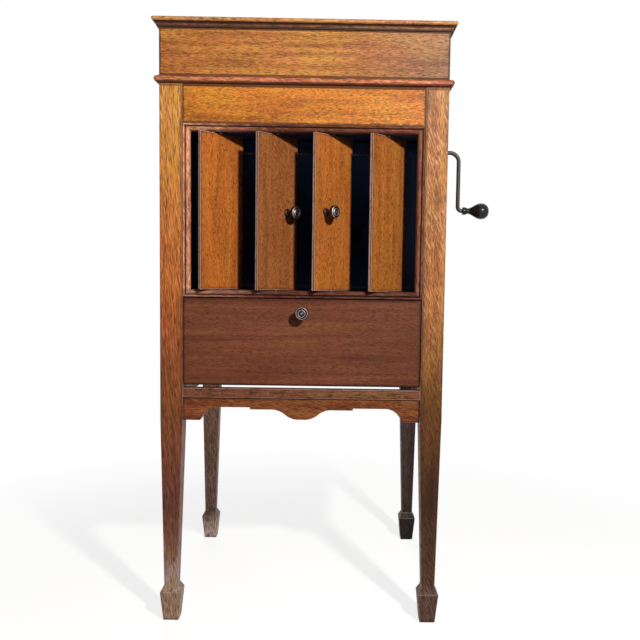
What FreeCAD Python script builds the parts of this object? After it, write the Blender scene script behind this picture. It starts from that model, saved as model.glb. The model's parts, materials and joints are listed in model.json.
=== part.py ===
import FreeCAD, Part
import os
import re
from math import cos, degrees, pi, radians, sin, tan, atan2

import Sketcher
from FreeCAD import Placement, Rotation, Vector

# A floor-standing cabinet gramophone. Millimetres, +Z up, front faces -Y,
# origin on the floor midway between the four feet.

DRIVING = {
    # the case
    "case_width": 495,
    "case_depth": 480,
    "leg_width": 39,
    "leg_height": 944.5,
    "rail_thick": 18,
    "rail_set_back": 1,
    "panel_thick": 8,
    "panel_set_back": 8.5,
    "top_rail_foot": 878.5,
    "base_rail_foot": 385,
    "base_rail_head": 440.5,
    # legs and spade feet
    "taper_start": 366,
    "ankle_height": 64,
    "ankle_outer_cut": 5,
    "ankle_inner_cut": 9.8,
    "foot_shoulder": 52,
    "foot_wide": 37.4,
    "foot_narrow": 27.4,
    # lower front rail, apron and flap
    "low_rail_foot": 405,
    "low_rail_head": 421.5,
    "apron_set_back": 4,
    "apron_end": 364,
    "apron_rise": 387.6,
    "apron_step": 384,
    "apron_drop": 366.8,
    "flap_foot": 426.5,
    "flap_head": 579.6,
    "flap_width": 414,
    "flap_thick": 18,
    "flap_set_back": 1.5,
    "flap_round": 6,
    "flap_pin_depth": 10.8,
    "flap_knob_height": 556,
    # boards inside
    "shelf_foot": 428.5,
    "shelf_thick": 12,
    "shelf_front": 23,
    "chamber_foot": 581.2,
    "chamber_thick": 12.5,
    "board_foot": 913,
    "board_thick": 12,
    "bearer_width": 10,
    "bearer_height": 12,
    # louvres
    "frame_width": 12.7,
    "frame_depth": 13,
    "louvre_case_depth": 90,
    "lining_thick": 4,
    "slat_pitch": 97.63,
    "slat_shift": 1,
    "slat_width": 96.3,
    "slat_thick": 6,
    "slat_foot": 595.2,
    "slat_head": 864.3,
    "slat_axis_depth": 25.2,
    "slat_open_angle": 49.2,
    "slat_pin_radius": 1.7,
    "flap_pin_radius": 2.5,
    "pin_length": 17,
    "pin_in_slat": 9,
    "pin_clearance": 0.06,
    "louvre_knob_height": 730.7,
    "left_knob_offset": 23.2,
    "right_knob_offset": 20.4,
    "eye_along": 52,
    "eye_behind": 8.5,
    "eye_height": 840,
    "eye_thick": 2.5,
    "tie_bar_width": 5,
    "tie_bar_thick": 3,
    "tie_pin_radius": 2,
    "knob_radius": 11.6,
    "knob_length": 26,
    # lid
    "lid_base": 945.1,
    "lid_top": 1053,
    "lid_board": 7.5,
    "lid_wall": 16,
    "lid_overhang": 10.8,
    "bead_height": 12.5,
    "bead_proud": 7.6,
    "cornice_height": 8.4,
    "cornice_proud": 8.4,
    "hinge_offset": 3.2,
    "hinge_spread": 150,
    "hinge_length": 60,
    "leaf_width": 25,
    "leaf_thick": 1.6,
    "stay_radius": 150,
    "stay_side": 200,
    "stay_width": 12,
    "stay_thick": 3,
    # motor
    "spindle_x": -20,
    "spindle_y": -35,
    "spindle_radius": 3.6,
    "spindle_shaft": 4.2,
    "barrel_spacing": 80,
    "plate_foot": 842,
    "plate_thick": 4,
    "top_plate_foot": 909,
    "bearing_clearance": 0.07,
    "crank_height": 864,
    "crank_throw": 113,
    "crank_reach": 296,
    "rod_radius": 4,
    "handle_start": 304.6,
    "handle_length": 52.9,
    "turntable_radius": 150,
    "turntable_top": 950,
    # tonearm
    "arm_x": 95,
    "arm_y": 145,
    "arm_angle": -68,
    "arm_height": 990,
    "arm_length": 203,
    "sound_box_radius": 29,
    # horn
    "horn_wall": 7,
    "throat_height": 700,
}

doc = FreeCAD.newDocument("cabinet_gramophone")
sheet = doc.addObject("Spreadsheet::Sheet", "Sizes")
for row, (alias, number) in enumerate(DRIVING.items(), 1):
    sheet.set(f"A{row}", alias)
    sheet.set(f"B{row}", str(number))
    sheet.setAlias(f"B{row}", alias)
doc.recompute()

NODES = []


def cells(text):
    """Point every alias in an expression at the sheet."""
    return re.sub(r"[a-z_]+", lambda word: f"Sizes.{word[0]}" if word[0] in DRIVING else word[0], str(text))


def val(text):
    """The number that an expression of aliases stands for now."""
    return float(sheet.evalExpression(cells(text)))


def bind(item, **expressions):
    """Tie properties to the sheet; a double underscore stands for a dot."""
    for name, text in expressions.items():
        item.setExpression(name.replace("__", "."), cells(text))


def place(item, x=0, y=0, z=0):
    bind(item, Placement__Base__x=x, Placement__Base__y=y, Placement__Base__z=z)
    return item


def node(item, label):
    """Name the finished sub-part; its file takes this name."""
    item.Label = label
    NODES.append(item)
    return item


def block(x, y, z):
    """A box from its low and high face in each direction."""
    box = doc.addObject("Part::Box", "Block")
    bind(box, Length=f"({x[1]}) - ({x[0]})", Width=f"({y[1]}) - ({y[0]})", Height=f"({z[1]}) - ({z[0]})")
    return place(box, x[0], y[0], z[0])


TURN = {
    "X": Rotation(Vector(0, 1, 0), 90),
    "-X": Rotation(Vector(0, 1, 0), -90),
    "Y": Rotation(Vector(1, 0, 0), -90),
    "-Y": Rotation(Vector(1, 0, 0), 90),
    "Z": Rotation(),
}


def rod(radius, length, x, y, z, axis="Z"):
    """A cylinder that starts at a point and runs along an axis."""
    cylinder = doc.addObject("Part::Cylinder", "Rod")
    cylinder.Placement = Placement(Vector(), TURN[axis])
    bind(cylinder, Radius=radius, Height=length)
    return place(cylinder, x, y, z)


def fuse(*pieces):
    joined = doc.addObject("Part::MultiFuse", "Fuse")
    joined.Shapes = list(pieces)
    return joined


def group(*pieces):
    """Separate solids that share a node."""
    compound = doc.addObject("Part::Compound", "Group")
    compound.Links = list(pieces)
    return compound


def cut(base, *tools):
    result = doc.addObject("Part::Cut", "Cut")
    result.Base = base
    result.Tool = tools[0] if len(tools) == 1 else fuse(*tools)
    return result


def feature(shape):
    """A shape worked out in code from the sheet's numbers."""
    item = doc.addObject("Part::Feature", "Shape")
    item.Shape = shape
    return item


def draw(sketch, points, closed=True):
    """Lines and arcs through bound points. A third number in a point bulges the edge that leaves it."""
    now = [(val(p[0]), val(p[1])) for p in points]
    count = len(points) if closed else len(points) - 1
    ends = []
    for i in range(count):
        a, b = Vector(*now[i], 0), Vector(*now[(i + 1) % len(points)], 0)
        bulge = points[i][2] if len(points[i]) > 2 else 0
        if bulge:
            half = (b - a) * 0.5
            side = Vector(-half.y, half.x, 0)
            centre = a + half + side * ((1 - bulge ** 2) / (2 * bulge))
            first, last = (a, b) if bulge > 0 else (b, a)
            angles = [atan2(p.y - centre.y, p.x - centre.x) for p in (first, last)]
            if angles[1] < angles[0]:
                angles[1] += 2 * pi
            circle = Part.Circle(centre, Vector(0, 0, 1), (a - centre).Length)
            sketch.addGeometry(Part.ArcOfCircle(circle, *angles))
            ends.append((1, 2) if bulge > 0 else (2, 1))
        else:
            sketch.addGeometry(Part.LineSegment(a, b))
            ends.append((1, 2))
    for i in range(count - (0 if closed else 1)):
        following = (i + 1) % count
        sketch.addConstraint(Sketcher.Constraint("Coincident", i, ends[i][1], following, ends[following][0]))
    for i in range(len(points)):
        edge, end = (i, ends[i][0]) if i < count else (i - 1, ends[i - 1][1])
        for kind, text, number in zip(("DistanceX", "DistanceY"), points[i], now[i]):
            index = sketch.addConstraint(Sketcher.Constraint(kind, -1, 1, edge, end, number))
            sketch.setExpression(f"Constraints[{index}]", cells(text))


def new_body():
    return doc.addObject("PartDesign::Body", "Body")


def sketch_on(body, plane, offset=0):
    sketch = body.newObject("Sketcher::SketchObject", "Sketch")
    sketch.AttachmentSupport = [(next(o for o in body.Origin.OriginFeatures if o.Role == plane), "")]
    sketch.MapMode = "FlatFace"
    bind(sketch, AttachmentOffset__Base__z=offset)
    return sketch


def pad(plane, points, start, length):
    """A flat outline with a thickness. On the XZ plane the thickness runs towards -Y."""
    body = new_body()
    sketch = sketch_on(body, plane, start)
    draw(sketch, points)
    solid = body.newObject("PartDesign::Pad", "Pad")
    solid.Profile = sketch
    bind(solid, Length=length)
    return body


def turned(points, x=0, y=0, z=0, axis="Z"):
    """A profile of radius and height, turned about its own axis."""
    body = new_body()
    sketch = sketch_on(body, "XZ_Plane")
    draw(sketch, points)
    solid = body.newObject("PartDesign::Revolution", "Revolution")
    solid.Profile = sketch
    solid.ReferenceAxis = (sketch, ["V_Axis"])
    solid.Angle = 360
    body.Placement = Placement(Vector(), TURN[axis])
    return place(body, x, y, z)


def piped(radius, route_plane, route_offset, route, section_plane, section_offset, centre):
    """A round bar along a route of lines and arcs. The section stands at the start of the route."""
    body = new_body()
    path = sketch_on(body, route_plane, route_offset)
    draw(path, route, closed=False)
    section = sketch_on(body, section_plane, section_offset)
    spot = [val(text) for text in centre]
    section.addGeometry(Part.Circle(Vector(*spot, 0), Vector(0, 0, 1), val(radius)))
    rules = [("Radius", (0,), radius)]
    rules += [(kind, (-1, 1, 0, 3), text) for kind, text in zip(("DistanceX", "DistanceY"), centre)]
    for kind, where, text in rules:
        index = section.addConstraint(Sketcher.Constraint(kind, *where, val(text)))
        section.setExpression(f"Constraints[{index}]", cells(text))
    pipe = body.newObject("PartDesign::AdditivePipe", "Pipe")
    pipe.Profile = section
    pipe.Spine = path
    return body


def lofted(plane, sections):
    """A straight-sided loft through outlines at offsets from a plane."""
    body = new_body()
    sketches = []
    for offset, points in sections:
        sketches.append(sketch_on(body, plane, offset))
        draw(sketches[-1], points)
    loft = body.newObject("PartDesign::AdditiveLoft", "Loft")
    loft.Profile = sketches[0]
    loft.Sections = sketches[1:]
    loft.Ruled = True
    return body


def mitred(corners, outline, closed):
    """Strips of one section between corners. A corner is a point and the two directions of the section."""
    wires = []
    for point, along_a, along_b in corners:
        spots = [point + along_a * a + along_b * b for a, b in outline]
        wires.append(Part.makePolygon(spots + spots[:1]))
    pairs = list(zip(wires, wires[1:] + wires[:1]))
    if not closed:
        pairs = pairs[:-1]
    return Part.makeCompound([Part.makeLoft(list(pair), True, True) for pair in pairs])


FRONT = "(-case_depth / 2)"
BACK = "(case_depth / 2)"
SIDE = "(case_width / 2)"
LEG_X = "(case_width / 2 - leg_width)"
LEG_Y = "(case_depth / 2 - leg_width)"
RAIL_INNER = "(case_width / 2 - rail_set_back - rail_thick)"
FLAP_PIN_Y = "(-case_depth / 2 + flap_set_back + flap_pin_depth)"
FLAP_PIN_Z = "(flap_foot + flap_round)"

# Legs: a square post, a taper to the ankle, and a spade foot

ANKLE_CENTRE = "(ankle_outer_cut + leg_width - ankle_inner_cut) / 2"
LEG_SECTIONS = [
    ("0", f"{ANKLE_CENTRE} - foot_narrow / 2", f"{ANKLE_CENTRE} + foot_narrow / 2"),
    ("foot_shoulder", f"{ANKLE_CENTRE} - foot_wide / 2", f"{ANKLE_CENTRE} + foot_wide / 2"),
    ("ankle_height", "ankle_outer_cut", "leg_width - ankle_inner_cut"),
    ("taper_start", "0", "leg_width"),
    ("leg_height", "0", "leg_width"),
]

for x_side, x_name in ((-1, "left"), (1, "right")):
    for y_side, y_name in ((-1, "front"), (1, "rear")):
        sections = []
        for height, outer, inner in LEG_SECTIONS:
            xs = [f"{x_side} * ({SIDE} - ({edge}))" for edge in (outer, inner)]
            ys = [f"{y_side} * ({BACK} - ({edge}))" for edge in (outer, inner)]
            sections.append((height, [(xs[0], ys[0]), (xs[1], ys[0]), (xs[1], ys[1]), (xs[0], ys[1])]))
        leg = lofted("XY_Plane", sections)
        if y_side < 0:
            hole_x = f"{x_side} * {LEG_X} - {0 if x_side > 0 else 10}"
            leg = cut(leg, rod("flap_pin_radius", 10, hole_x, FLAP_PIN_Y, FLAP_PIN_Z, "X"))
        node(leg, f"leg_{y_name}_{x_name}")

# Rails, panels and boards of the case

RAIL_FRONT = f"{FRONT} + rail_set_back"
between_legs = (f"-{LEG_X}", LEG_X)
node(
    block(between_legs, (RAIL_FRONT, f"{RAIL_FRONT} + rail_thick"), ("top_rail_foot", "leg_height")),
    "front_top_rail",
)
node(
    block(between_legs, (RAIL_FRONT, f"{RAIL_FRONT} + rail_thick"), ("low_rail_foot", "low_rail_head")),
    "front_lower_rail",
)

ARC = tan(radians(90) / 4)
apron_half = [
    (f"{LEG_X}", "low_rail_foot"),
    (f"{LEG_X}", "apron_end"),
    ("178.5", "apron_end"),
    ("176", "apron_end + 2.6", 0.36),
    ("144", "apron_rise"),
    ("91", "apron_rise"),
    ("91", "apron_step"),
    ("58", "apron_step", 0.2),
    ("30", "apron_step - 8", -0.22),
]
mirrored = []
for i in range(len(apron_half) - 1, -1, -1):
    before = apron_half[i - 1] if i else ()
    bulge = before[2] if len(before) > 2 else 0
    mirrored.append((f"-({apron_half[i][0]})", apron_half[i][1], bulge))
apron = pad("XZ_Plane", apron_half + [("0", "apron_drop", -0.22)] + mirrored,
            f"-({FRONT} + apron_set_back + rail_thick)", "rail_thick")
node(apron, "front_apron")

rails = []
for foot, head in (("top_rail_foot", "leg_height"), ("base_rail_foot", "base_rail_head")):
    for sign in (-1, 1):
        outer, inner = f"({SIDE} - rail_set_back)", RAIL_INNER
        spread = (f"-{outer}", f"-{inner}") if sign < 0 else (inner, outer)
        rails.append(block(spread, (f"-{LEG_Y}", LEG_Y), (foot, head)))
    rails.append(block(between_legs, (f"{BACK} - rail_thick", BACK), (foot, head)))
node(group(*rails), "case_rails")

PANEL_OUTER = "(case_width / 2 - panel_set_back)"
PANEL_INNER = "(case_width / 2 - panel_set_back - panel_thick)"
panel_height = ("base_rail_head", "top_rail_foot")
node(block((f"-{PANEL_OUTER}", f"-{PANEL_INNER}"), (f"-{LEG_Y}", LEG_Y), panel_height), "side_panel_left")
right_panel = block((PANEL_INNER, PANEL_OUTER), (f"-{LEG_Y}", LEG_Y), panel_height)
bush_hole = rod(8, 20, f"{PANEL_INNER} - 5", "spindle_y", "crank_height", "X")
node(cut(right_panel, bush_hole), "side_panel_right")
node(block(between_legs, (f"{BACK} - 11", f"{BACK} - 5"), panel_height), "back_panel")


def notched(front, back):
    """The plan of a board that fits between the rails and round the legs."""
    return [
        (f"-{LEG_X}", front), (LEG_X, front), (LEG_X, f"-{LEG_Y}"), (RAIL_INNER, f"-{LEG_Y}"),
        (RAIL_INNER, LEG_Y), (LEG_X, LEG_Y), (LEG_X, back), (f"-{LEG_X}", back),
        (f"-{LEG_X}", LEG_Y), (f"-{RAIL_INNER}", LEG_Y), (f"-{RAIL_INNER}", f"-{LEG_Y}"),
        (f"-{LEG_X}", f"-{LEG_Y}"),
    ]


INSIDE_BACK = f"({BACK} - rail_thick)"
shelf_plan = notched(f"{FRONT} + shelf_front", INSIDE_BACK)
node(pad("XY_Plane", shelf_plan, "shelf_foot", "shelf_thick"), "record_shelf")

# Louvre opening: mitred frame, case and pivot pins

SLAT_Y = "(-case_depth / 2 + slat_axis_depth)"
SLAT_X = [f"({i} - 1.5) * slat_pitch + slat_shift" for i in range(4)]
CHAMBER_HEAD = "(chamber_foot + chamber_thick)"
LOUVRE_HEAD = "(top_rail_foot - frame_width)"
FRAME_BACK = "(-case_depth / 2 + frame_depth)"
CASE_BACK = "(-case_depth / 2 + louvre_case_depth)"

frame_corners = []
for x_side, z_text, up in ((-1, "chamber_foot", 1), (1, "chamber_foot", 1),
                           (1, "top_rail_foot", -1), (-1, "top_rail_foot", -1)):
    corner = Vector(x_side * val(LEG_X), val(FRONT), val(z_text))
    frame_corners.append((corner, Vector(-x_side, 0, up), Vector(0, 1, 0)))
width, depth = val("frame_width"), val("frame_depth")
frame_section = [
    (0, depth), (0, 2.6), (0.8, 1.3), (2, 0.9), (3.2, 1.4), (3.9, 2.6), (4.2, 4), (5, 4),
    (5.6, 2.9), (6.8, 2.1), (8.6, 2.1), (10.4, 2.9), (11.8, 4.4), (width, 6.6), (width, depth),
]
node(feature(mitred(frame_corners, frame_section, True)), "louvre_frame")


LOWER_PIN = "(slat_foot + pin_in_slat - pin_length)"
UPPER_PIN = "(slat_head - pin_in_slat)"
chamber_floor = pad("XY_Plane", notched(FRAME_BACK, INSIDE_BACK), "chamber_foot", "chamber_thick")
floor_hole = f"chamber_foot + 20 - {LOWER_PIN}"
floor_holes = [rod("slat_pin_radius", floor_hole, x, SLAT_Y, LOWER_PIN) for x in SLAT_X]
node(cut(chamber_floor, *floor_holes), "chamber_floor")

case_depth_range = (FRAME_BACK, CASE_BACK)
case_hole = f"{UPPER_PIN} + pin_length - {LOUVRE_HEAD}"
case_holes = [rod("slat_pin_radius", case_hole, x, SLAT_Y, LOUVRE_HEAD) for x in SLAT_X]
case_top = cut(block(between_legs, case_depth_range, (LOUVRE_HEAD, "top_rail_foot")), *case_holes)
linings = [
    block((f"-{LEG_X}", f"-{LEG_X} + lining_thick"), case_depth_range, (CHAMBER_HEAD, LOUVRE_HEAD)),
    block((f"{LEG_X} - lining_thick", LEG_X), case_depth_range, (CHAMBER_HEAD, LOUVRE_HEAD)),
]
node(group(case_top, *linings), "louvre_case")

pins = []
for x in SLAT_X:
    pins += [rod("slat_pin_radius", "pin_length", x, SLAT_Y, foot) for foot in (LOWER_PIN, UPPER_PIN)]
for start in (f"-{LEG_X} - 8", f"{LEG_X} + 8 - pin_length"):
    pins.append(rod("flap_pin_radius", "pin_length", start, FLAP_PIN_Y, FLAP_PIN_Z, "X"))
node(group(*pins), "pivot_pins")

# Louvre boards, each with a brass eye for the tie bar, and the two knobs

OPEN = Rotation(Vector(0, 0, 1), val("slat_open_angle"))
BORE = "slat_pin_radius + pin_clearance"
EYE_RADIUS = 4.2


def stand_at_slat(item, x):
    """Turn a louvre's piece to its open rest position about the louvre's pins."""
    item.Placement = Placement(Vector(), OPEN)
    return place(item, x, SLAT_Y, 0)


def louvre(x):
    board = block(("-slat_width / 2", "slat_width / 2"), ("-slat_thick / 2", "slat_thick / 2"),
                  ("slat_foot", "slat_head"))
    bores = [rod(BORE, "pin_in_slat + 1", 0, 0, "slat_foot"),
             rod(BORE, "pin_in_slat + 1", 0, 0, "slat_head - pin_in_slat - 1")]
    foot = block(("34", "46"), ("slat_thick / 2", "slat_thick / 2 + 1.5"),
                 ("eye_height - 8", "eye_height + 10"))
    tongue = block(("42", "eye_along"), ("slat_thick / 2 + 1", f"eye_behind + {EYE_RADIUS}"),
                   ("eye_height", "eye_height + eye_thick"))
    ring = rod(EYE_RADIUS, "eye_thick", "eye_along", "eye_behind", "eye_height")
    eye = cut(fuse(foot, tongue, ring),
              rod("tie_pin_radius + pin_clearance", 20, "eye_along", "eye_behind", "eye_height - 10"))
    return stand_at_slat(group(cut(board, *bores), eye), x)


KNOB_PROFILE = [
    ("0", "0"), ("knob_radius * 0.62", "0"), ("knob_radius * 0.62", "1.6", 0.3), ("knob_radius * 0.36", "4"),
    ("knob_radius * 0.32", "9", -0.25), ("knob_radius * 0.5", "knob_length - 12"),
    ("knob_radius * 0.93", "knob_length - 8.6", 0.35), ("knob_radius", "knob_length - 5", 0.35),
    ("knob_radius * 0.8", "knob_length - 1.6"), ("knob_radius * 0.66", "knob_length - 1.6"),
    ("knob_radius * 0.62", "knob_length - 2.4"), ("knob_radius * 0.5", "knob_length - 2.4"),
    ("knob_radius * 0.42", "knob_length - 0.9"), ("0", "knob_length"),
]


def louvre_knob(x, offset):
    knob = turned(KNOB_PROFILE)
    holder = group(place_turned(knob, offset))
    return stand_at_slat(holder, x)


def place_turned(knob, offset):
    knob.Placement = Placement(Vector(), TURN["-Y"])
    return place(knob, offset, "-slat_thick / 2", "louvre_knob_height")


for number, x in enumerate(SLAT_X, 1):
    node(louvre(x), f"louvre_{number}")
node(louvre_knob(SLAT_X[1], "left_knob_offset"), "louvre_knob_left")
node(louvre_knob(SLAT_X[2], "-right_knob_offset"), "louvre_knob_right")

EYE_X = "(eye_along * cos(slat_open_angle) - eye_behind * sin(slat_open_angle))"
EYE_Y = "(eye_along * sin(slat_open_angle) + eye_behind * cos(slat_open_angle))"
bar = block((f"{SLAT_X[0]} + {EYE_X} - 4.6", f"{SLAT_X[3]} + {EYE_X} + 4.6"),
            (f"{SLAT_Y} + {EYE_Y} - tie_bar_width / 2", f"{SLAT_Y} + {EYE_Y} + tie_bar_width / 2"),
            ("eye_height - 1 - tie_bar_thick", "eye_height - 1"))
bar_pins = [rod("tie_pin_radius", "6", f"{x} + {EYE_X}", f"{SLAT_Y} + {EYE_Y}", "eye_height - 1.5")
            for x in SLAT_X]
node(fuse(bar, *bar_pins), "louvre_tie_bar")

# Fall flap: its lower front edge is rounded so that it clears the rail as it falls

flap_section = [
    ("0", "flap_round", ARC), ("flap_round", "0"), ("flap_thick", "0"),
    ("flap_thick", "flap_head - flap_foot"), ("0", "flap_head - flap_foot"),
]
flap_outline = [(f"{FRONT} + flap_set_back + {p[0]}", f"flap_foot + {p[1]}") + p[2:] for p in flap_section]
flap_board = pad("YZ_Plane", flap_outline, "-flap_width / 2", "flap_width")
flap_bores = [rod("flap_pin_radius + pin_clearance", "pin_length - 8", start, FLAP_PIN_Y, FLAP_PIN_Z, "X")
              for start in ("-flap_width / 2", "flap_width / 2 - pin_length + 8")]
node(cut(flap_board, *flap_bores), "fall_flap")
node(turned(KNOB_PROFILE, 0, f"{FRONT} + flap_set_back", "flap_knob_height", "-Y"), "flap_knob")

# Lid: four mitred walls, a top board with a rounded nose, a cove cornice and a bead


def lid_corners(closed):
    """Corners of the lid's outer face, from the rear left round the front to the rear right."""
    x, y = val(SIDE), val(BACK)
    up = Vector(0, 0, 1)
    rear_out = Vector(1, 1, 0) if closed else Vector(1, 0, 0)
    return [
        (Vector(-x, y, 0), Vector(-1, rear_out.y, 0), up),
        (Vector(-x, -y, 0), Vector(-1, -1, 0), up),
        (Vector(x, -y, 0), Vector(1, -1, 0), up),
        (Vector(x, y, 0), rear_out, up),
    ]


base, under_board = val("lid_base"), val("lid_top - lid_board")
wall_section = [(-val("lid_wall"), base), (0, base), (0, under_board), (-val("lid_wall"), under_board)]
node(feature(mitred(lid_corners(True), wall_section, True)), "lid_walls")

proud = f"({SIDE} + lid_overhang)"
nose = "lid_board / 2 - 0.4"
top_board = block((f"-{proud}", proud), (f"{FRONT} - lid_overhang", f"{BACK} + 2"),
                  ("lid_top - lid_board", "lid_top"))
doc.recompute()
rounded = doc.addObject("Part::Fillet", "Nose")
rounded.Base = top_board
nose_edges = []
for index, edge in enumerate(top_board.Shape.Edges, 1):
    middle = edge.CenterOfMass
    along_z = abs(edge.Vertexes[0].Z - edge.Vertexes[1].Z) > 1
    if not along_z and middle.y < val(BACK):
        nose_edges.append((index, val(nose), val(nose)))
rounded.Edges = nose_edges
node(rounded, "lid_top_board")

cornice_out, cornice_up = val("cornice_proud"), val("cornice_height")
cornice_foot = under_board - cornice_up
cove = []
for angle in (0, 20, 40, 60, 80):
    hollow = 3.4 + (cornice_out - 3.4) * (1 - cos(radians(angle)))
    cove.append((hollow, cornice_foot + 2.2 + (cornice_up - 2.2) * sin(radians(angle))))
cornice_section = [(0, cornice_foot), (3.4, cornice_foot)] + cove
cornice_section += [(cornice_out, under_board), (0, under_board)]
node(feature(mitred(lid_corners(False), cornice_section, False)), "lid_cornice")

bead_up, bead_out = val("bead_height"), val("bead_proud")
roll = [(2 + (bead_out - 2) * cos(radians(a)), base + 0.46 * bead_up * (1 + sin(radians(a))))
        for a in range(-90, 91, 15)]
bead_section = [(0, base)] + roll + [(1.2, base + bead_up), (0, base + bead_up)]
node(feature(mitred(lid_corners(False), bead_section, False)), "lid_bead")

# Wood screws, and the countersunk holes that they leave in metal


def screw(spot, direction, length=16, slotted=True):
    """A countersunk screw whose head lies flush at the spot and whose shank runs the other way."""
    head = Part.makeCone(4, 1.8, 2.4, spot, direction * -1)
    whole = head.fuse(Part.makeCylinder(1.8, length, spot, direction * -1))
    if not slotted:
        return whole
    slot = Part.makeBox(10, 0.9, 0.9, Vector(-5, -0.45, -0.9))
    slot.Placement = Placement(spot, Rotation(Vector(0, 0, 1), direction))
    return whole.cut(slot)


def countersunk(item, spots):
    return cut(item, feature(Part.makeCompound([screw(*spot, slotted=False) for spot in spots])))


X_AXIS, Y_AXIS, Z_AXIS = Vector(1, 0, 0), Vector(0, 1, 0), Vector(0, 0, 1)
BOARD_HEAD = "(board_foot + board_thick)"

# Lid hinges: leaves on the back, knuckles round one axis, and a pin through each

HINGE_Y = "(case_depth / 2 + hinge_offset)"
HINGE_Z = "(leg_height + 0.3)"
KNUCKLE_GAP = 4.2


def hinge_leaf(x, knuckles, edge, far, spots):
    """One leaf with its knuckles, given as stretches along the hinge from its middle."""
    thickness = (BACK, f"{BACK} + leaf_thick")
    breadth = (f"{x} - hinge_length / 2", f"{x} + hinge_length / 2")
    pieces = [block(breadth, thickness, sorted((edge, far), key=val))]
    for first, last in knuckles:
        pieces.append(rod("hinge_offset", last - first, f"{x} + {first}", HINGE_Y, HINGE_Z, "X"))
        neck = sorted((edge, HINGE_Z), key=val)
        pieces.append(block((f"{x} + {first}", f"{x} + {last}"), thickness, neck))
    bore = rod("1.5", "hinge_length + 2", f"{x} - hinge_length / 2 - 1", HINGE_Y, HINGE_Z, "X")
    return countersunk(cut(fuse(*pieces), bore), spots)


case_leaves, lid_leaves, hinge_pins = [], [], []
case_spots, lid_spots = [], []
leaf_face = val(BACK) + val("leaf_thick")
for sign in (-1, 1):
    x = f"{sign} * hinge_spread"
    middle = Vector(val(x), leaf_face, val(HINGE_Z))
    below = [(middle + Vector(step, 0, -15), Y_AXIS, 14) for step in (-20, 0, 20)]
    above = [(middle + Vector(step, 0, 15), Y_AXIS, 14) for step in (-20, 0, 20)]
    case_spots += below
    lid_spots += above
    case_leaves.append(hinge_leaf(x, ((-30, -15.2), (15.2, 30)), f"{HINGE_Z} - {KNUCKLE_GAP}",
                                  f"{HINGE_Z} - leaf_width", below))
    lid_leaves.append(hinge_leaf(x, ((-14.8, 14.8),), f"{HINGE_Z} + {KNUCKLE_GAP}",
                                 f"{HINGE_Z} + leaf_width", above))
    hinge_pins.append(rod("1.43", "hinge_length", f"{x} - hinge_length / 2", HINGE_Y, HINGE_Z, "X"))
node(group(*case_leaves, *hinge_pins), "hinge_leaves_case")
node(group(*lid_leaves), "hinge_leaves_lid")

# Quadrant stay: a brass arc about the hinge axis that slides through a slot in the motor board

STAY_TOP, STAY_END, STAY_STOP = 24, -80, -77


def on_stay(distance, angle):
    """A point at a distance and an angle above the horizontal from the hinge axis."""
    turn = radians(angle)
    return f"{HINGE_Y} - ({distance}) * {cos(turn):.6f}", f"{HINGE_Z} + ({distance}) * {sin(turn):.6f}"


outer, inner = "stay_radius + stay_width / 2", "stay_radius - stay_width / 2"
sweep = tan(radians(STAY_TOP - STAY_END) / 4)
quadrant = pad("YZ_Plane", [
    on_stay(inner, STAY_TOP) + (sweep,), on_stay(inner, STAY_END),
    on_stay(outer, STAY_END) + (-sweep,), on_stay(outer, STAY_TOP),
], "-stay_side - stay_thick / 2", "stay_thick")
tail_y, tail_z = on_stay("stay_radius", STAY_TOP)
stop_y, stop_z = on_stay("stay_radius", STAY_STOP)
node(fuse(
    quadrant,
    rod(7.2, 13, "-stay_side - 6.5", stop_y, stop_z, "X"),
    block((f"-{SIDE} + lid_wall", "-stay_side + stay_thick / 2"), (f"{tail_y} - 12", f"{tail_y} + 12"),
          (f"{tail_z} - 7", f"{tail_z} + 9")),
), "lid_stay")

# Motor board with its openings, and its bearers

STAY_SLOT = f"({HINGE_Y} - stay_radius)"
BRAKE_X, BRAKE_Y, SPEED_X, SPEED_Y = -196, 6, -165, -175
board_plan = notched(f"{FRONT} + rail_set_back + rail_thick", INSIDE_BACK)
motor_board = pad("XY_Plane", board_plan, "board_foot", "board_thick")
through = "board_foot - 4"
node(cut(
    motor_board,
    rod(9, 20, "spindle_x", "spindle_y", through),
    rod(24, 20, "arm_x", "arm_y", through),
    block(("-stay_side - 2.4", "-stay_side + 2.4"), (f"{STAY_SLOT} - 9", f"{STAY_SLOT} + 12.5"),
          (through, "board_foot + 16")),
    rod(3.06, 20, SPEED_X, SPEED_Y, through),
    rod(3.06, 20, BRAKE_X, BRAKE_Y, through),
), "motor_board")
bearer_z = ("board_foot - bearer_height", "board_foot")
node(group(
    block((f"-{RAIL_INNER}", f"-{RAIL_INNER} + bearer_width"), (f"-{LEG_Y}", LEG_Y), bearer_z),
    block((f"{RAIL_INNER} - bearer_width", RAIL_INNER), (f"-{LEG_Y}", LEG_Y), bearer_z),
), "board_bearers")
for sign in (-1, 1):
    for y in (-150, 150):
        case_spots.append((Vector(sign * (val(RAIL_INNER) - 5), y, val(BOARD_HEAD)), Z_AXIS, 22))

# Spring motor: four upright arbors between two plates. The second arbor stands where its
# two meshes, with the barrel wheel and the spindle pinion, both run at the right distance

BARREL_TEETH, SECOND_PINION = 84, 10
SECOND_TEETH, SPINDLE_PINION = 54, 18
GOVERNOR_WHEEL, GOVERNOR_PINION = 64, 8
WINDING_PINION, CROWN_TEETH = 12, 52
barrel_reach = (BARREL_TEETH + SECOND_PINION) / 2
spindle_reach = (SECOND_TEETH + SPINDLE_PINION) / 2
ALONG = f"(({spindle_reach ** 2} - {barrel_reach ** 2} + barrel_spacing ^ 2) / (2 * barrel_spacing))"
SPINDLE = ("spindle_x", "spindle_y")
BARREL = ("(spindle_x + barrel_spacing)", "spindle_y")
SECOND = (f"(spindle_x + {ALONG})", f"(spindle_y + sqrt({spindle_reach ** 2} - {ALONG} ^ 2))")
GOVERNOR = (f"(spindle_x - {(GOVERNOR_WHEEL + GOVERNOR_PINION) / 2})", "spindle_y")


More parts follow.
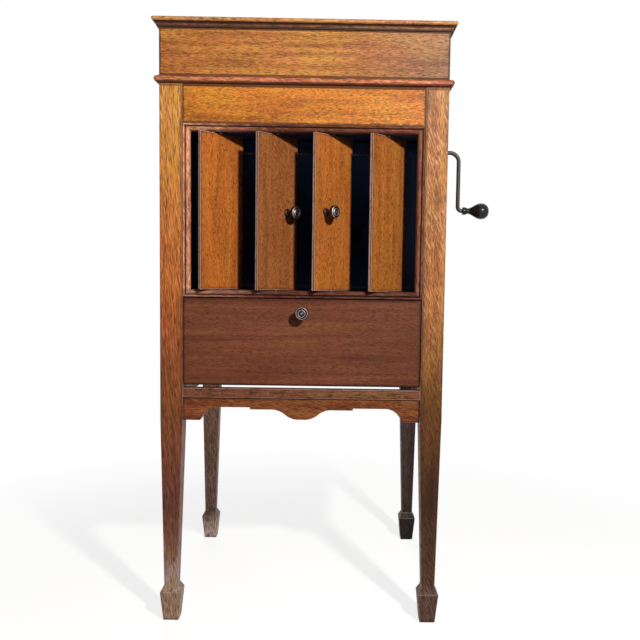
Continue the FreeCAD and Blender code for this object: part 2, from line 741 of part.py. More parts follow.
def heading(start, end):
    return degrees(atan2(val(end[1]) - val(start[1]), val(end[0]) - val(start[0])))


def gap_facing(teeth, angle):
    """The first tooth's angle that leaves a gap centred on the given angle."""
    return angle + 180 / teeth


def toothed(teeth, centre, foot, height, first_tooth, module=1.0):
    """A spur wheel of straight-sided teeth, one of them centred on the angle first_tooth."""
    pitch, step = teeth * module / 2, 360 / teeth
    corners = []
    for i in range(teeth):
        for radius, share in ((pitch - 1.2 * module, -0.29), (pitch + 0.85 * module, -0.11),
                              (pitch + 0.85 * module, 0.11), (pitch - 1.2 * module, 0.29)):
            angle = radians(first_tooth + (i + share) * step)
            corners.append(Vector(radius * cos(angle), radius * sin(angle), 0))
    wheel = feature(Part.Face(Part.makePolygon(corners + corners[:1])).extrude(Vector(0, 0, height)))
    return place(wheel, centre[0], centre[1], foot)


def upright(centre, radius, foot, head):
    return rod(radius, f"{head} - ({foot})", centre[0], centre[1], foot)


PLATE_HEAD = "(plate_foot + plate_thick)"
TOP_PLATE_HEAD = "(top_plate_foot + plate_thick)"
ARBORS = ((SECOND, "2"), (BARREL, "4"), (SPINDLE, "spindle_shaft"), (GOVERNOR, "1.6"))
PLATE_X, PLATE_Y = ("spindle_x - 64", "spindle_x + 132"), ("spindle_y - 49", "spindle_y + 49")
SHAFT_RADIUS = 4.5


def plate(foot):
    """A motor plate with a bearing hole for each arbor."""
    holes = [rod(f"{radius} + bearing_clearance", "plate_thick + 2", centre[0], centre[1], f"{foot} - 1")
             for centre, radius in ARBORS]
    return cut(block(PLATE_X, PLATE_Y, (foot, f"{foot} + plate_thick")), *holes)


motor_pieces = [plate("plate_foot"), plate("top_plate_foot")]
for x in (f"{PLATE_X[0]} + 8", f"{PLATE_X[1]} - 8"):
    for y in (f"{PLATE_Y[0]} + 8", f"{PLATE_Y[1]} - 8"):
        motor_pieces.append(upright((x, y), 5, PLATE_HEAD, "top_plate_foot"))
bearing = block(("spindle_x + 124", "spindle_x + 132"), ("spindle_y - 12", "spindle_y + 12"),
                (PLATE_HEAD, "crank_height + 14"))
shaft_hole = f"{SHAFT_RADIUS} + bearing_clearance"
motor_pieces.append(cut(bearing, rod(shaft_hole, 20, "spindle_x + 120", "spindle_y", "crank_height", "X")))
node(group(*motor_pieces), "motor_frame")

node(fuse(
    upright(SECOND, 2, "plate_foot", TOP_PLATE_HEAD),
    toothed(SECOND_PINION, SECOND, "896.5", 7, gap_facing(SECOND_PINION, heading(SECOND, BARREL))),
    toothed(SECOND_TEETH, SECOND, "904", 3, gap_facing(SECOND_TEETH, heading(SECOND, SPINDLE))),
    upright(SECOND, 3.4, "903", "904.5"),
), "second_arbor")

CROWN_REACH = (35.6, 42.9)
CROWN_FOOT, CROWN_HEAD = "(crank_height - 10.6)", "(crank_height - 7.9)"
crown_teeth = []
for i in range(CROWN_TEETH):
    ends = []
    for reach in CROWN_REACH:
        section = [(-1.15, -0.5), (1.15, -0.5), (0.6, 2.7), (-0.6, 2.7), (-1.15, -0.5)]
        ends.append(Part.makePolygon([Vector(reach, y, z) for y, z in section]))
    tooth = Part.makeLoft(ends, True, True)
    tooth.rotate(Vector(), Z_AXIS, (i + 0.5) * 360 / CROWN_TEETH)
    crown_teeth.append(tooth)
crown = place(feature(Part.makeCompound(crown_teeth)), BARREL[0], BARREL[1], CROWN_FOOT)
node(fuse(
    upright(BARREL, 43, "crank_height - 15", CROWN_FOOT),
    crown,
    upright(BARREL, 4, "plate_foot", TOP_PLATE_HEAD),
), "winding_wheel")

BARREL_FOOT, BARREL_HEAD, BARREL_RADIUS = "858", "898", 30
node(cut(
    fuse(upright(BARREL, BARREL_RADIUS, BARREL_FOOT, BARREL_HEAD),
         toothed(BARREL_TEETH, BARREL, BARREL_HEAD, 4, heading(BARREL, SECOND))),
    upright(BARREL, BARREL_RADIUS - 1.5, f"{BARREL_FOOT} + 2", f"{BARREL_HEAD} - 2"),
    upright(BARREL, "4 + bearing_clearance", f"{BARREL_FOOT} - 1", f"{BARREL_HEAD} + 6"),
), "spring_barrel")


def spiral(turns, first, pitch, thick, height):
    """A flat strip wound into a spiral of half circles on two centres."""
    sides = []
    for extra in (0, thick):
        arcs = []
        for i in range(2 * turns):
            radius = first + i * pitch / 2 + extra
            centre = Vector(pitch / 2 if i % 2 else 0, 0, 0)
            reach = radius if i % 2 == 0 else -radius
            start, middle = centre + Vector(reach, 0, 0), centre + Vector(0, reach, 0)
            arcs.append(Part.Arc(start, middle, centre - Vector(reach, 0, 0)).toShape())
        sides.append(arcs)
    ends = []
    for i in (0, -1):
        ends.append(Part.LineSegment(*[side[i].Vertexes[i].Point for side in sides]).toShape())
    outline = Part.Wire(Part.__sortEdges__(sides[0] + sides[1] + ends))
    return Part.Face(outline).extrude(Vector(0, 0, height))


node(place(feature(spiral(7, 8.0, 2.6, 0.9, 26)), BARREL[0], BARREL[1], f"{BARREL_FOOT} + 6"), "mainspring")

node(fuse(
    upright(SPINDLE, "spindle_shaft", "plate_foot", "turntable_top"),
    upright(SPINDLE, "spindle_radius", "turntable_top", "turntable_top + 12"),
    turned([("0", "0"), ("spindle_radius", "0", 0.3), ("0.8", "3"), ("0", "3")],
           *SPINDLE, "turntable_top + 12"),
    toothed(GOVERNOR_WHEEL, SPINDLE, "868", 3, heading(SPINDLE, GOVERNOR)),
    upright(SPINDLE, 7, "870", "874"),
    toothed(SPINDLE_PINION, SPINDLE, "903.5", 4, heading(SPINDLE, SECOND)),
), "spindle")

governor_gap = gap_facing(GOVERNOR_PINION, heading(GOVERNOR, SPINDLE))
governor_pieces = [
    fuse(toothed(GOVERNOR_PINION, GOVERNOR, "866", 7, governor_gap),
         upright(GOVERNOR, 1.6, "plate_foot", TOP_PLATE_HEAD)),
    cut(upright(GOVERNOR, 5, "875", "879"), upright(GOVERNOR, 1.6, "874", "880")),
    cut(fuse(upright(GOVERNOR, 5, "897", "899.5"), upright(GOVERNOR, 16, "899", "900.5")),
        upright(GOVERNOR, 1.6, "896", "902")),
]
leaf_line = [(4.9, 876), (5.5, 876), (12.3, 888), (5.5, 898), (4.9, 898), (11.5, 888), (4.9, 876)]
for i in range(3):
    leaf = Part.Face(Part.makePolygon([Vector(x, -2, z) for x, z in leaf_line])).extrude(Vector(0, 4, 0))
    flyer = leaf.fuse(Part.makeSphere(5, Vector(15.2, 0, 888)))
    flyer.rotate(Vector(), Z_AXIS, 60 + 120 * i)
    governor_pieces.append(place(feature(flyer), GOVERNOR[0], GOVERNOR[1]))
node(group(*governor_pieces), "governor")

# Winding shaft with its pinion, crank rod and handle

SHAFT_END, SOCKET = "(spindle_x + 225)", 15
CRANK_START = f"({SHAFT_END} - {SOCKET})"
pinion = toothed(WINDING_PINION, ("spindle_x + 115.6", "spindle_y"), "crank_height", 7.4, 0, 1.5)
pinion.Placement = Placement(pinion.Placement.Base, TURN["X"])


def along_shaft(radius, length, start):
    return rod(radius, length, start, "spindle_y", "crank_height", "X")


node(cut(
    fuse(pinion, along_shaft(SHAFT_RADIUS, f"{SHAFT_END} - spindle_x - 120", "spindle_x + 120"),
         along_shaft(7.5, 22, f"{SHAFT_END} - 22")),
    along_shaft("rod_radius", SOCKET + 5, CRANK_START),
), "winding_shaft")

UPPER_BEND, LOWER_BEND = 18, 8.5
node(piped("rod_radius", "XZ_Plane", "-spindle_y", [
    (CRANK_START, "crank_height"),
    (f"crank_reach - {UPPER_BEND}", "crank_height", -ARC),
    ("crank_reach", f"crank_height - {UPPER_BEND}"),
    ("crank_reach", f"crank_height - crank_throw + {LOWER_BEND}", ARC),
    (f"crank_reach + {LOWER_BEND}", "crank_height - crank_throw"),
    ("handle_start + handle_length - 6", "crank_height - crank_throw"),
], "YZ_Plane", CRANK_START, ("spindle_y", "crank_height")), "crank_rod")

BORE_IN_HANDLE = "rod_radius + bearing_clearance"
node(turned([
    (BORE_IN_HANDLE, "0"), ("7.3", "0", 0.3), ("7.5", "5"), ("6.9", "7.6", -0.35), ("5.4", "11.5"),
    ("6.1", "15.5"), ("8.2", "19.5"), ("11", "24.3"), ("13.7", "29.2"), ("15.3", "34"), ("15.7", "38.4"),
    ("15.1", "42.7"), ("13.2", "46.9"), ("10.3", "50.2"), ("6.6", "52.2"), ("3", "handle_length"),
    ("0", "handle_length"), ("0", "handle_length - 5.5"), (BORE_IN_HANDLE, "handle_length - 5.5"),
], "handle_start", "spindle_y", "crank_height - crank_throw", "X"), "crank_handle")

bush = Vector(val(PANEL_OUTER) + 1.6, val("spindle_y"), val("crank_height"))
plate_screws = [(bush + Vector(0, y, 0), X_AXIS, 8.8) for y in (-13, 13)]
case_spots += plate_screws
escutcheon = turned([
    ("rod_radius + 0.5", "-8"), ("7.9", "-8"), ("7.9", "0"), ("14.3", "0"), ("14.3", "1", 0.3),
    ("13.6", "1.6"), ("9.4", "1.6", -0.2), ("7", "4.4"), ("rod_radius + 0.5", "4.4"),
], PANEL_OUTER, "spindle_y", "crank_height", "X")
ears = block((PANEL_OUTER, f"{PANEL_OUTER} + 1.6"), ("spindle_y - 19", "spindle_y + 19"),
             ("crank_height - 5.5", "crank_height + 5.5"))
ear_hole = rod("9", 4, f"{PANEL_OUTER} - 1", "spindle_y", "crank_height", "X")
node(countersunk(fuse(escutcheon, cut(ears, ear_hole)), plate_screws), "crank_escutcheon")

# Turntable with its felt

node(turned([
    ("spindle_shaft", "-14"), ("14", "-14"), ("14", "-2.6"), ("turntable_radius - 3", "-2.6"),
    ("turntable_radius - 3", "-12"), ("turntable_radius", "-12"), ("turntable_radius", "-1"),
    ("turntable_radius - 1", "0"), ("spindle_shaft", "0"),
], "spindle_x", "spindle_y", "turntable_top"), "turntable")
node(turned([
    ("5", "0"), ("turntable_radius - 3", "0"), ("turntable_radius - 3", "2"), ("5", "2"),
], "spindle_x", "spindle_y", "turntable_top"), "turntable_felt")

# Tonearm, made along +X and then turned to its rest: base on the board, arm that swings,
# gooseneck that turns over about the arm's own axis, sound box and needle

base_spots = []
for angle in (30, 150, 270):
    reach = Vector(27.5 * cos(radians(angle)), 27.5 * sin(radians(angle)), 0)
    base_spots.append((Vector(val("arm_x"), val("arm_y"), val(BOARD_HEAD) + 4) + reach, Z_AXIS, 13))
case_spots += base_spots
base = turned([
    ("13", "0"), ("34", "0"), ("34", "3", 0.3), ("33", "4"), ("21", "4", -0.35), ("17", "10"), ("17", "33"),
    ("13", "33"),
], "arm_x", "arm_y", BOARD_HEAD)
node(countersunk(base, base_spots), "tonearm_base")

ARM_FOOT, ARM_BEND, ARM_JOINT, BOX_SIDE, SPIGOT = 930, 25, 160, 18, 14


def on_arm(item):
    """Carry a piece made along +X to the tonearm's rest position."""
    holder = group(item)
    holder.Placement = Placement(Vector(), Rotation(Vector(0, 0, 1), val("arm_angle")))
    return place(holder, "arm_x", "arm_y")


def arm_route(end):
    return [("0", f"{ARM_FOOT}"), ("0", f"arm_height - {ARM_BEND}", -ARC), (f"{ARM_BEND}", "arm_height"),
            (f"{end}", "arm_height")]


arm_foot = ("XY_Plane", f"{ARM_FOOT}", ("0", "0"))
taper = doc.addObject("Part::Cone", "Taper")
taper.Radius1, taper.Radius2, taper.Height = 12.9, 9, ARM_JOINT - ARM_BEND
taper.Placement = Placement(Vector(), TURN["X"])
place(taper, ARM_BEND, 0, "arm_height")
node(on_arm(cut(
    fuse(piped("12.9", "XZ_Plane", 0, arm_route(ARM_BEND + 0.5), *arm_foot), taper, rod(16, 4, 0, 0, 958.4)),
    piped("7", "XZ_Plane", 0, arm_route(ARM_JOINT), *arm_foot),
)), "tonearm")


def neck_route(start):
    return [(f"{start}", "0"), (f"arm_length - {BOX_SIDE}", "0", ARC), ("arm_length", f"{BOX_SIDE}"),
            ("arm_length", f"{BOX_SIDE + 2}")]


def neck(radius, start):
    section = ("YZ_Plane", f"{start}", ("0", "arm_height"))
    return piped(radius, "XY_Plane", "arm_height", neck_route(start), *section)


node(on_arm(cut(
    fuse(neck("8.2", ARM_JOINT + 0.4), rod(9.6, 6, ARM_JOINT + 0.4, 0, "arm_height", "X"),
         rod(6.93, SPIGOT + 1, ARM_JOINT - SPIGOT, 0, "arm_height", "X")),
    neck("5.6", ARM_JOINT - SPIGOT),
)), "gooseneck")

BOX_FRONT = BOX_SIDE + 2
needle_head = Vector(val("arm_length") - 1, 27, 968)
needle_run = Vector(val("arm_length") + 7, 27, 954) - needle_head


def needle_shape():
    return feature(Part.makeCone(0.9, 0.2, needle_run.Length, needle_head, needle_run))


box_foot = "(arm_height - sound_box_radius)"
sound_box = fuse(
    cut(rod("sound_box_radius", 12, "arm_length", BOX_FRONT, "arm_height", "Y"),
        rod("sound_box_radius - 4", 3.5, "arm_length", BOX_FRONT + 9, "arm_height", "Y"),
        rod(5.6, 4, "arm_length", BOX_FRONT, "arm_height", "Y")),
    block(("arm_length - 1.5", "arm_length + 1.5"), (BOX_FRONT + 7.5, BOX_FRONT + 11.5),
          (f"{box_foot} - 3", "arm_height")),
    block(("arm_length - 4.5", "arm_length + 4.5"), (BOX_FRONT + 3, BOX_FRONT + 11),
          (f"{box_foot} - 6", f"{box_foot} + 4")),
    rod(4, 3, "arm_length", BOX_FRONT + 8.5, "arm_height", "Y"),
)
node(on_arm(cut(sound_box, needle_shape())), "sound_box")
node(on_arm(needle_shape()), "needle")

REST_REACH = 150
rest_x = f"arm_x + {REST_REACH} * cos(arm_angle)"
rest_y = f"arm_y + {REST_REACH} * sin(arm_angle)"
node(turned([
    ("0", "0"), ("9", "0"), ("9", "2", 0.3), ("3.4", "5"), ("3", "47"), ("6", "50", -0.2), ("7.5", "55.4"),
    ("0", "55.4"),
], rest_x, rest_y, BOARD_HEAD), "arm_rest")

# Horn: a wooden flare behind the louvres, and a cast elbow up to the tonearm

HORN_SECTIONS = [
    ("-150", "0", "729.7", 196, 127),
    ("-90", "18", "717", 150, 98),
    ("-10", "48", "705", 86, 60),
    ("50", "78", "throat_height", 43, 37),
    ("85", "arm_x", "throat_height", 21, 21),
]


def flare(wall):
    sections = []
    for y, x, z, half_x, half_z in HORN_SECTIONS:
        corners = [(f"{x} + {i} * ({half_x} + {wall})", f"{z} + {k} * ({half_z} + {wall})")
                   for i, k in ((-1, -1), (1, -1), (1, 1), (-1, 1))]
        sections.append((f"-({y})", corners))
    return lofted("XZ_Plane", sections)


node(cut(flare("horn_wall"), flare("0")), "horn")

ELBOW_BEND, THROAT_Y = 40, HORN_SECTIONS[-1][0]


def elbow(radius):
    route = [(THROAT_Y, "throat_height"), (f"arm_y - {ELBOW_BEND}", "throat_height", ARC),
             ("arm_y", f"throat_height + {ELBOW_BEND}"), ("arm_y", "board_foot")]
    return piped(radius, "YZ_Plane", "arm_x", route, "XZ_Plane", f"-({THROAT_Y})", ("arm_x", "throat_height"))


horn_flange = rod(36, 5, "arm_x", THROAT_Y, "throat_height", "Y")
board_flange = rod(36, 5, "arm_x", "arm_y", "board_foot - 5")
node(cut(fuse(elbow("27"), horn_flange, board_flange), elbow("22")), "horn_elbow")

# Needle cups and levers

cup = [("0", "0"), ("19", "0"), ("19", "12"), ("17.2", "12", -0.3), ("9", "2.4"), ("0", "2.4")]
node(group(*[turned(cup, x, y, BOARD_HEAD) for x, y in ((160, -185), (203, -170))]), "needle_cups")

speed_hub = [("0", "-12"), ("3", "-12"), ("3", "0.4"), ("9", "0.4"), ("9", "3", 0.3), ("5", "6"), ("0", "6")]
node(fuse(
    turned(speed_hub, SPEED_X, SPEED_Y, BOARD_HEAD),
    block((SPEED_X, SPEED_X + 47), (SPEED_Y - 3, SPEED_Y + 3), (f"{BOARD_HEAD} + 1", f"{BOARD_HEAD} + 3.4")),
    turned([("0", "0"), ("4.5", "0"), ("4", "6"), ("5.5", "10"), ("5.2", "13"), ("3.5", "15"), ("0", "15")],
           SPEED_X + 45, SPEED_Y, f"{BOARD_HEAD} + 3.2"),
), "speed_lever")

brake_hub = [("0", "-12"), ("3", "-12"), ("3", "0.4"), ("7", "0.4"), ("7", "5"), ("0", "5")]
node(fuse(
    turned(brake_hub, BRAKE_X, BRAKE_Y, BOARD_HEAD),
    block((BRAKE_X - 4, BRAKE_X + 4), (BRAKE_Y - 46, BRAKE_Y + 34),
          (f"{BOARD_HEAD} + 1", f"{BOARD_HEAD} + 4")),
    block((BRAKE_X, BRAKE_X + 17), (BRAKE_Y - 46, BRAKE_Y - 36),
          (f"{BOARD_HEAD} + 1", f"{BOARD_HEAD} + 11")),
    rod(3, 12, BRAKE_X + 14, BRAKE_Y - 41, f"{BOARD_HEAD} + 10"),
), "brake_lever")

node(feature(Part.makeCompound([screw(*spot) for spot in case_spots])), "case_screws")
node(feature(Part.makeCompound([screw(*spot) for spot in lid_spots])), "lid_screws")

doc.recompute()
for item in doc.Objects:
    if "Invalid" in item.State or "Error" in item.State:
        raise RuntimeError(f"{item.Label} failed: {item.State}")
os.makedirs("parts", exist_ok=True)
for item in NODES:
    if item.Shape.isNull() or not item.Shape.isValid() or not item.Shape.Solids:
        raise RuntimeError(f"{item.Label} has no valid solid")
    item.Shape.exportStep(f"parts/{item.Label}.step")
    print(f"{item.Label}: {len(item.Shape.Solids)} solids, {item.Shape.Volume / 1000:.1f} cm3")
print(f"{len(NODES)} nodes")
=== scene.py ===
# %% [markdown]
# # A cabinet gramophone in golden oak
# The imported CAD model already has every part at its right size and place. This lesson gives each
# part the look of the real thing: eased oak boards with grain that runs the way each board was
# sawn, turned bronze knobs, a forged crank, plated metal under the lid. Every piece rides on the
# CAD body that moves it, so that the lid, the flap, the louvres and the crank still work.

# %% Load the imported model
import json
import math
import random

import bmesh
import bpy
from mathutils import Matrix, Vector

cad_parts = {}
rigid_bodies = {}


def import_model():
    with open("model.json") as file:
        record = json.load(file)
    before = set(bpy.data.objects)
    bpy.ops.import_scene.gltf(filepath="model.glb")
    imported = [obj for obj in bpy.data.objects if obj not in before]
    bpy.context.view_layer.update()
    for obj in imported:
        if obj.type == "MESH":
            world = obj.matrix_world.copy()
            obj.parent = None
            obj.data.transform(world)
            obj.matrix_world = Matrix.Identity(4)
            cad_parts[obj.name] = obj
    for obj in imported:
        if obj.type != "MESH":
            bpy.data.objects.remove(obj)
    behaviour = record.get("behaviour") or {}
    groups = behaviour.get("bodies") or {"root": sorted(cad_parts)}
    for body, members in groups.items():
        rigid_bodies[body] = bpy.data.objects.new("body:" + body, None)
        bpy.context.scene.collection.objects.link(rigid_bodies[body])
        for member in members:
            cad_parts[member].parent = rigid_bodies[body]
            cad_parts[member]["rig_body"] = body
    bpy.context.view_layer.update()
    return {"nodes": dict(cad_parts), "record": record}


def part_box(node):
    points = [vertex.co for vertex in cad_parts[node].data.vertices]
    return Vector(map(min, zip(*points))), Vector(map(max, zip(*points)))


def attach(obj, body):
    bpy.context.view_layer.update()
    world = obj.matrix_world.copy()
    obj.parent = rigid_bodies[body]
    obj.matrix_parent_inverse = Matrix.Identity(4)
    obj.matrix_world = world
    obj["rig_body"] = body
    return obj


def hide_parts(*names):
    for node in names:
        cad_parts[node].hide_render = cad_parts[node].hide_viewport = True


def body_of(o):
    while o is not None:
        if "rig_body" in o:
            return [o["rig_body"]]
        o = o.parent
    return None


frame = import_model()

MM = 0.001
slot_of = {part["node"]: part["material_slot"] for part in frame["record"]["subparts"]}

# %% [markdown]
# ## Camera
# The photograph was taken from about 1.6 m in front of the cabinet's middle, a little to the right
# and just above half height. The place, turn and lens come from fitting known corners of the
# cabinet to where they appear in the picture. The small shift of the lens only frames the
# picture; it bends nothing.

# %% Camera
PHOTO_WIDTH, SENSOR = 640, 36
FOCAL_PIXELS = 803.74
LENS_AXIS = (346.345, 331.596)
CAMERA_PLACE = Vector((62.58, -1638.58, 634.12)) * MM
YAW, PITCH, ROLL = 0.0105, 0.0783, 0.0147


def shown(name, data):
    """Make an object and put it in the scene."""
    made = bpy.data.objects.new(name, data)
    bpy.context.scene.collection.objects.link(made)
    return made


camera = shown("camera", bpy.data.cameras.new("camera"))
camera.data.sensor_width = SENSOR
camera.data.lens = FOCAL_PIXELS / PHOTO_WIDTH * SENSOR
camera.data.shift_x = (PHOTO_WIDTH / 2 - LENS_AXIS[0]) / PHOTO_WIDTH
camera.data.shift_y = (LENS_AXIS[1] - PHOTO_WIDTH / 2) / PHOTO_WIDTH
camera.data.clip_start = 0.05

ahead = Vector((math.sin(YAW) * math.cos(PITCH), math.cos(YAW) * math.cos(PITCH), -math.sin(PITCH)))
level = Vector((math.cos(YAW), -math.sin(YAW), 0))
above = level.cross(ahead)
side = level * math.cos(ROLL) + above * math.sin(ROLL)
top = above * math.cos(ROLL) - level * math.sin(ROLL)
turn = Matrix((side, top, -ahead)).transposed().to_4x4()
camera.matrix_world = Matrix.Translation(CAMERA_PLACE) @ turn
bpy.context.scene.camera = camera
print("camera lens", round(camera.data.lens, 2), "mm")

# %% [markdown]
# ## Small helpers for node trees
# A material or a geometry tree is a net of boxes and wires. A few short helpers keep the recipes
# below readable: one begins a tree, one adds a box to it, one joins or sets a socket, and the
# others write arithmetic, colour mixing, noise and the place of a point in one line each.


# %% Node helpers
bench = []


def begin(tree):
    """From here on, the helpers below add their boxes to this tree."""
    bench[:] = [tree]
    return tree


def feed(socket, value):
    """Give a socket a plain value, or wire to it another box's output, the first if none is named."""
    if isinstance(value, bpy.types.Node):
        value = value.outputs[0]
    if isinstance(value, bpy.types.NodeSocket):
        bench[0].links.new(value, socket)
    else:
        socket.default_value = value


def feed_all(sockets, *values):
    for socket, value in zip(sockets, values):
        feed(socket, value)


def box(kind, settings=None, *values, **inputs):
    """Add a box; its inputs are given in their order, or by name with _ for a space."""
    made = bench[0].nodes.new(kind)
    for name, value in (settings or {}).items():
        setattr(made, name, value)
    feed_all(made.inputs, *values)
    for name, value in inputs.items():
        feed(made.inputs[name.replace("_", " ")], value)
    return made


def maths(operation, *values, clamp=False):
    return box("ShaderNodeMath", {"operation": operation, "use_clamp": clamp}, *values)


def plus(first, second, clamp=False):
    return maths("ADD", first, second, clamp=clamp)


def minus(first, second):
    return maths("SUBTRACT", first, second)


def times(first, second, clamp=False):
    return maths("MULTIPLY", first, second, clamp=clamp)


def mixed(factor, first, second, how="MIX"):
    made = box("ShaderNodeMix", {"data_type": "RGBA", "blend_type": how})
    for index, value in ((0, factor), (6, first), (7, second)):
        feed(made.inputs[index], value)
    return made.outputs[2]


def tinted(colour, tint):
    """A colour whose red, green and blue are each multiplied by a tint's."""
    return mixed(1.0, colour, tint, "MULTIPLY")


def between(value, low, high):
    """0 below low, 1 above high, and a soft step from one to the other."""
    return box("ShaderNodeMapRange", {"interpolation_type": "SMOOTHSTEP"}, value, low, high)


def noise(where, size=1.0, detail=2.0, roughness=0.55):
    return box("ShaderNodeTexNoise", Vector=where, Scale=size, Detail=detail, Roughness=roughness)


def stretched(where, along, across, through):
    return box("ShaderNodeVectorMath", {"operation": "MULTIPLY"}, where, (along, across, through))


def spot_on():
    """Metres from the point on the floor under the cabinet's middle."""
    return box("ShaderNodeTexCoord").outputs["Object"]


def parts_of(where):
    return box("ShaderNodeSeparateXYZ", Vector=where).outputs


def new_group(name, kind, takes, gives):
    """Begin a node group; takes and gives list its sockets: (name, socket type, default)."""
    tree = begin(bpy.data.node_groups.new(name, kind))
    for direction, rows in (("INPUT", takes), ("OUTPUT", gives)):
        for label, socket_type, *default in rows:
            socket = tree.interface.new_socket(label, in_out=direction, socket_type=socket_type)
            if default:
                socket.default_value = default[0]
    return tree.nodes.new("NodeGroupInput").outputs, tree.nodes.new("NodeGroupOutput").inputs


print("node helpers ready")

# %% [markdown]
# ## Floor and backdrop
# The photograph shows the cabinet on plain white. A wide floor catches its shadow, and away from
# the cabinet the floor fades to the white that the camera sees behind it. The floor's own paint
# is a middle grey, so that little light comes back up to the cabinet, as in the photograph. Its
# white is added only for the camera and for what metal shows, by way of the light path.


# %% Floor
def seen_directly():
    """1 for rays from the camera and for reflections, 0 for the light that falls on the cabinet."""
    rays = box("ShaderNodeLightPath").outputs
    mirrored = maths("MAXIMUM", rays["Is Glossy Ray"], rays["Is Transmission Ray"])
    return maths("MAXIMUM", rays["Is Camera Ray"], mirrored)


def flat_sheet(name, half):
    mesh = bpy.data.meshes.new(name)
    corners = [(-half, -half, 0), (half, -half, 0), (half, half, 0), (-half, half, 0)]
    mesh.from_pydata(corners, [], [(0, 1, 2, 3)])
    return shown(name, mesh)


def floor_paint(grey=0.36, lift=0.8, fade=(0.45, 1.3)):
    made = bpy.data.materials.new("studio_floor")
    made.use_nodes = True
    begin(made.node_tree).nodes.clear()
    reach = box("ShaderNodeVectorMath", {"operation": "LENGTH"}, spot_on())
    far = between(reach.outputs["Value"], *fade)
    seen = seen_directly()
    paint = box("ShaderNodeBsdfDiffuse", Color=(grey, grey, grey, 1))
    glow = box("ShaderNodeEmission", Color=(1, 1, 1, 1), Strength=times(seen, lift))
    lit = box("ShaderNodeAddShader", None, paint, glow)
    white = box("ShaderNodeEmission", Color=(1, 1, 1, 1), Strength=1.0)
    blend = box("ShaderNodeMixShader", None, times(far, seen), lit, white)
    box("ShaderNodeOutputMaterial", Surface=blend)
    return made


floor = flat_sheet("studio_floor", 9)
floor.data.materials.append(floor_paint())
print("floor", floor.dimensions[:2])

# %% [markdown]
# ## Sky and lamps
# The knobs' shadows show where the photograph's light stands: near, high and on the right, and
# small enough to give them firm edges. A weak broad lamp low on the left opens the shadows a
# little. A broad one behind lights the back, for whoever walks round the cabinet; the
# photograph's side of it gets none of that. The sky adds hardly anything.

# %% Sky and lamps
world = bpy.data.worlds.new("studio")
world.use_nodes = True
bpy.context.scene.world = world
begin(world.node_tree).nodes.clear()
sky = box("ShaderNodeBackground", Color=(0.86, 0.93, 1, 1), Strength=0.06)
backdrop = box("ShaderNodeBackground", Color=(1, 1, 1, 1), Strength=1.0)
choice = box("ShaderNodeMixShader", None, seen_directly(), sky, backdrop)
box("ShaderNodeOutputWorld", Surface=choice)


def lamp(name, aim, direction, distance, size, watts, colour):
    """A round soft lamp that shines along a direction at a point."""
    data = bpy.data.lights.new(name, "AREA")
    data.shape, data.size, data.energy, data.color = "DISK", size, watts, colour
    made = shown(name, data)
    travel = Vector(direction).normalized()
    made.matrix_world = Matrix.Translation(Vector(aim) - travel * distance) @ (
        travel.to_track_quat("-Z", "Y").to_matrix().to_4x4())
    return made


lamps = [
    lamp("key_lamp", aim=(0, -0.24, 0.6), direction=(-0.77, 1.37, -0.78), distance=1.75, size=0.12,
         watts=33.5, colour=(1, 0.97, 0.92)),
    lamp("fill_lamp", aim=(-0.25, 0, 0.1), direction=(0.72, 0.66, -0.12), distance=1.3, size=0.7,
         watts=1.2, colour=(1, 0.98, 0.96)),
    lamp("back_lamp", aim=(0, 0.24, 0.6), direction=(0.25, -0.9, -0.3), distance=2.8, size=1.8,
         watts=26, colour=(1, 0.98, 0.96)),
]
print("lamps", [round(made.data.energy, 1) for made in lamps], "W")

# %% [markdown]
# ## The figure of oak, as one shader group
# Quarter-sawn oak shows four things at once: broad bands of growth, fine streaks along the
# board, short dark pores, and pale ray flecks that wander across the grain. All of them are
# noise, stretched along the board. Every finish feeds the group a "grain" attribute that the
# boards get below: metres along, across and through the board, so that each has its own figure
# and the end grain turns up at its ends. Age comes on top: dirt, and varnish rubbed thin along
# the edges. One group serves every oak finish, each with its own values.


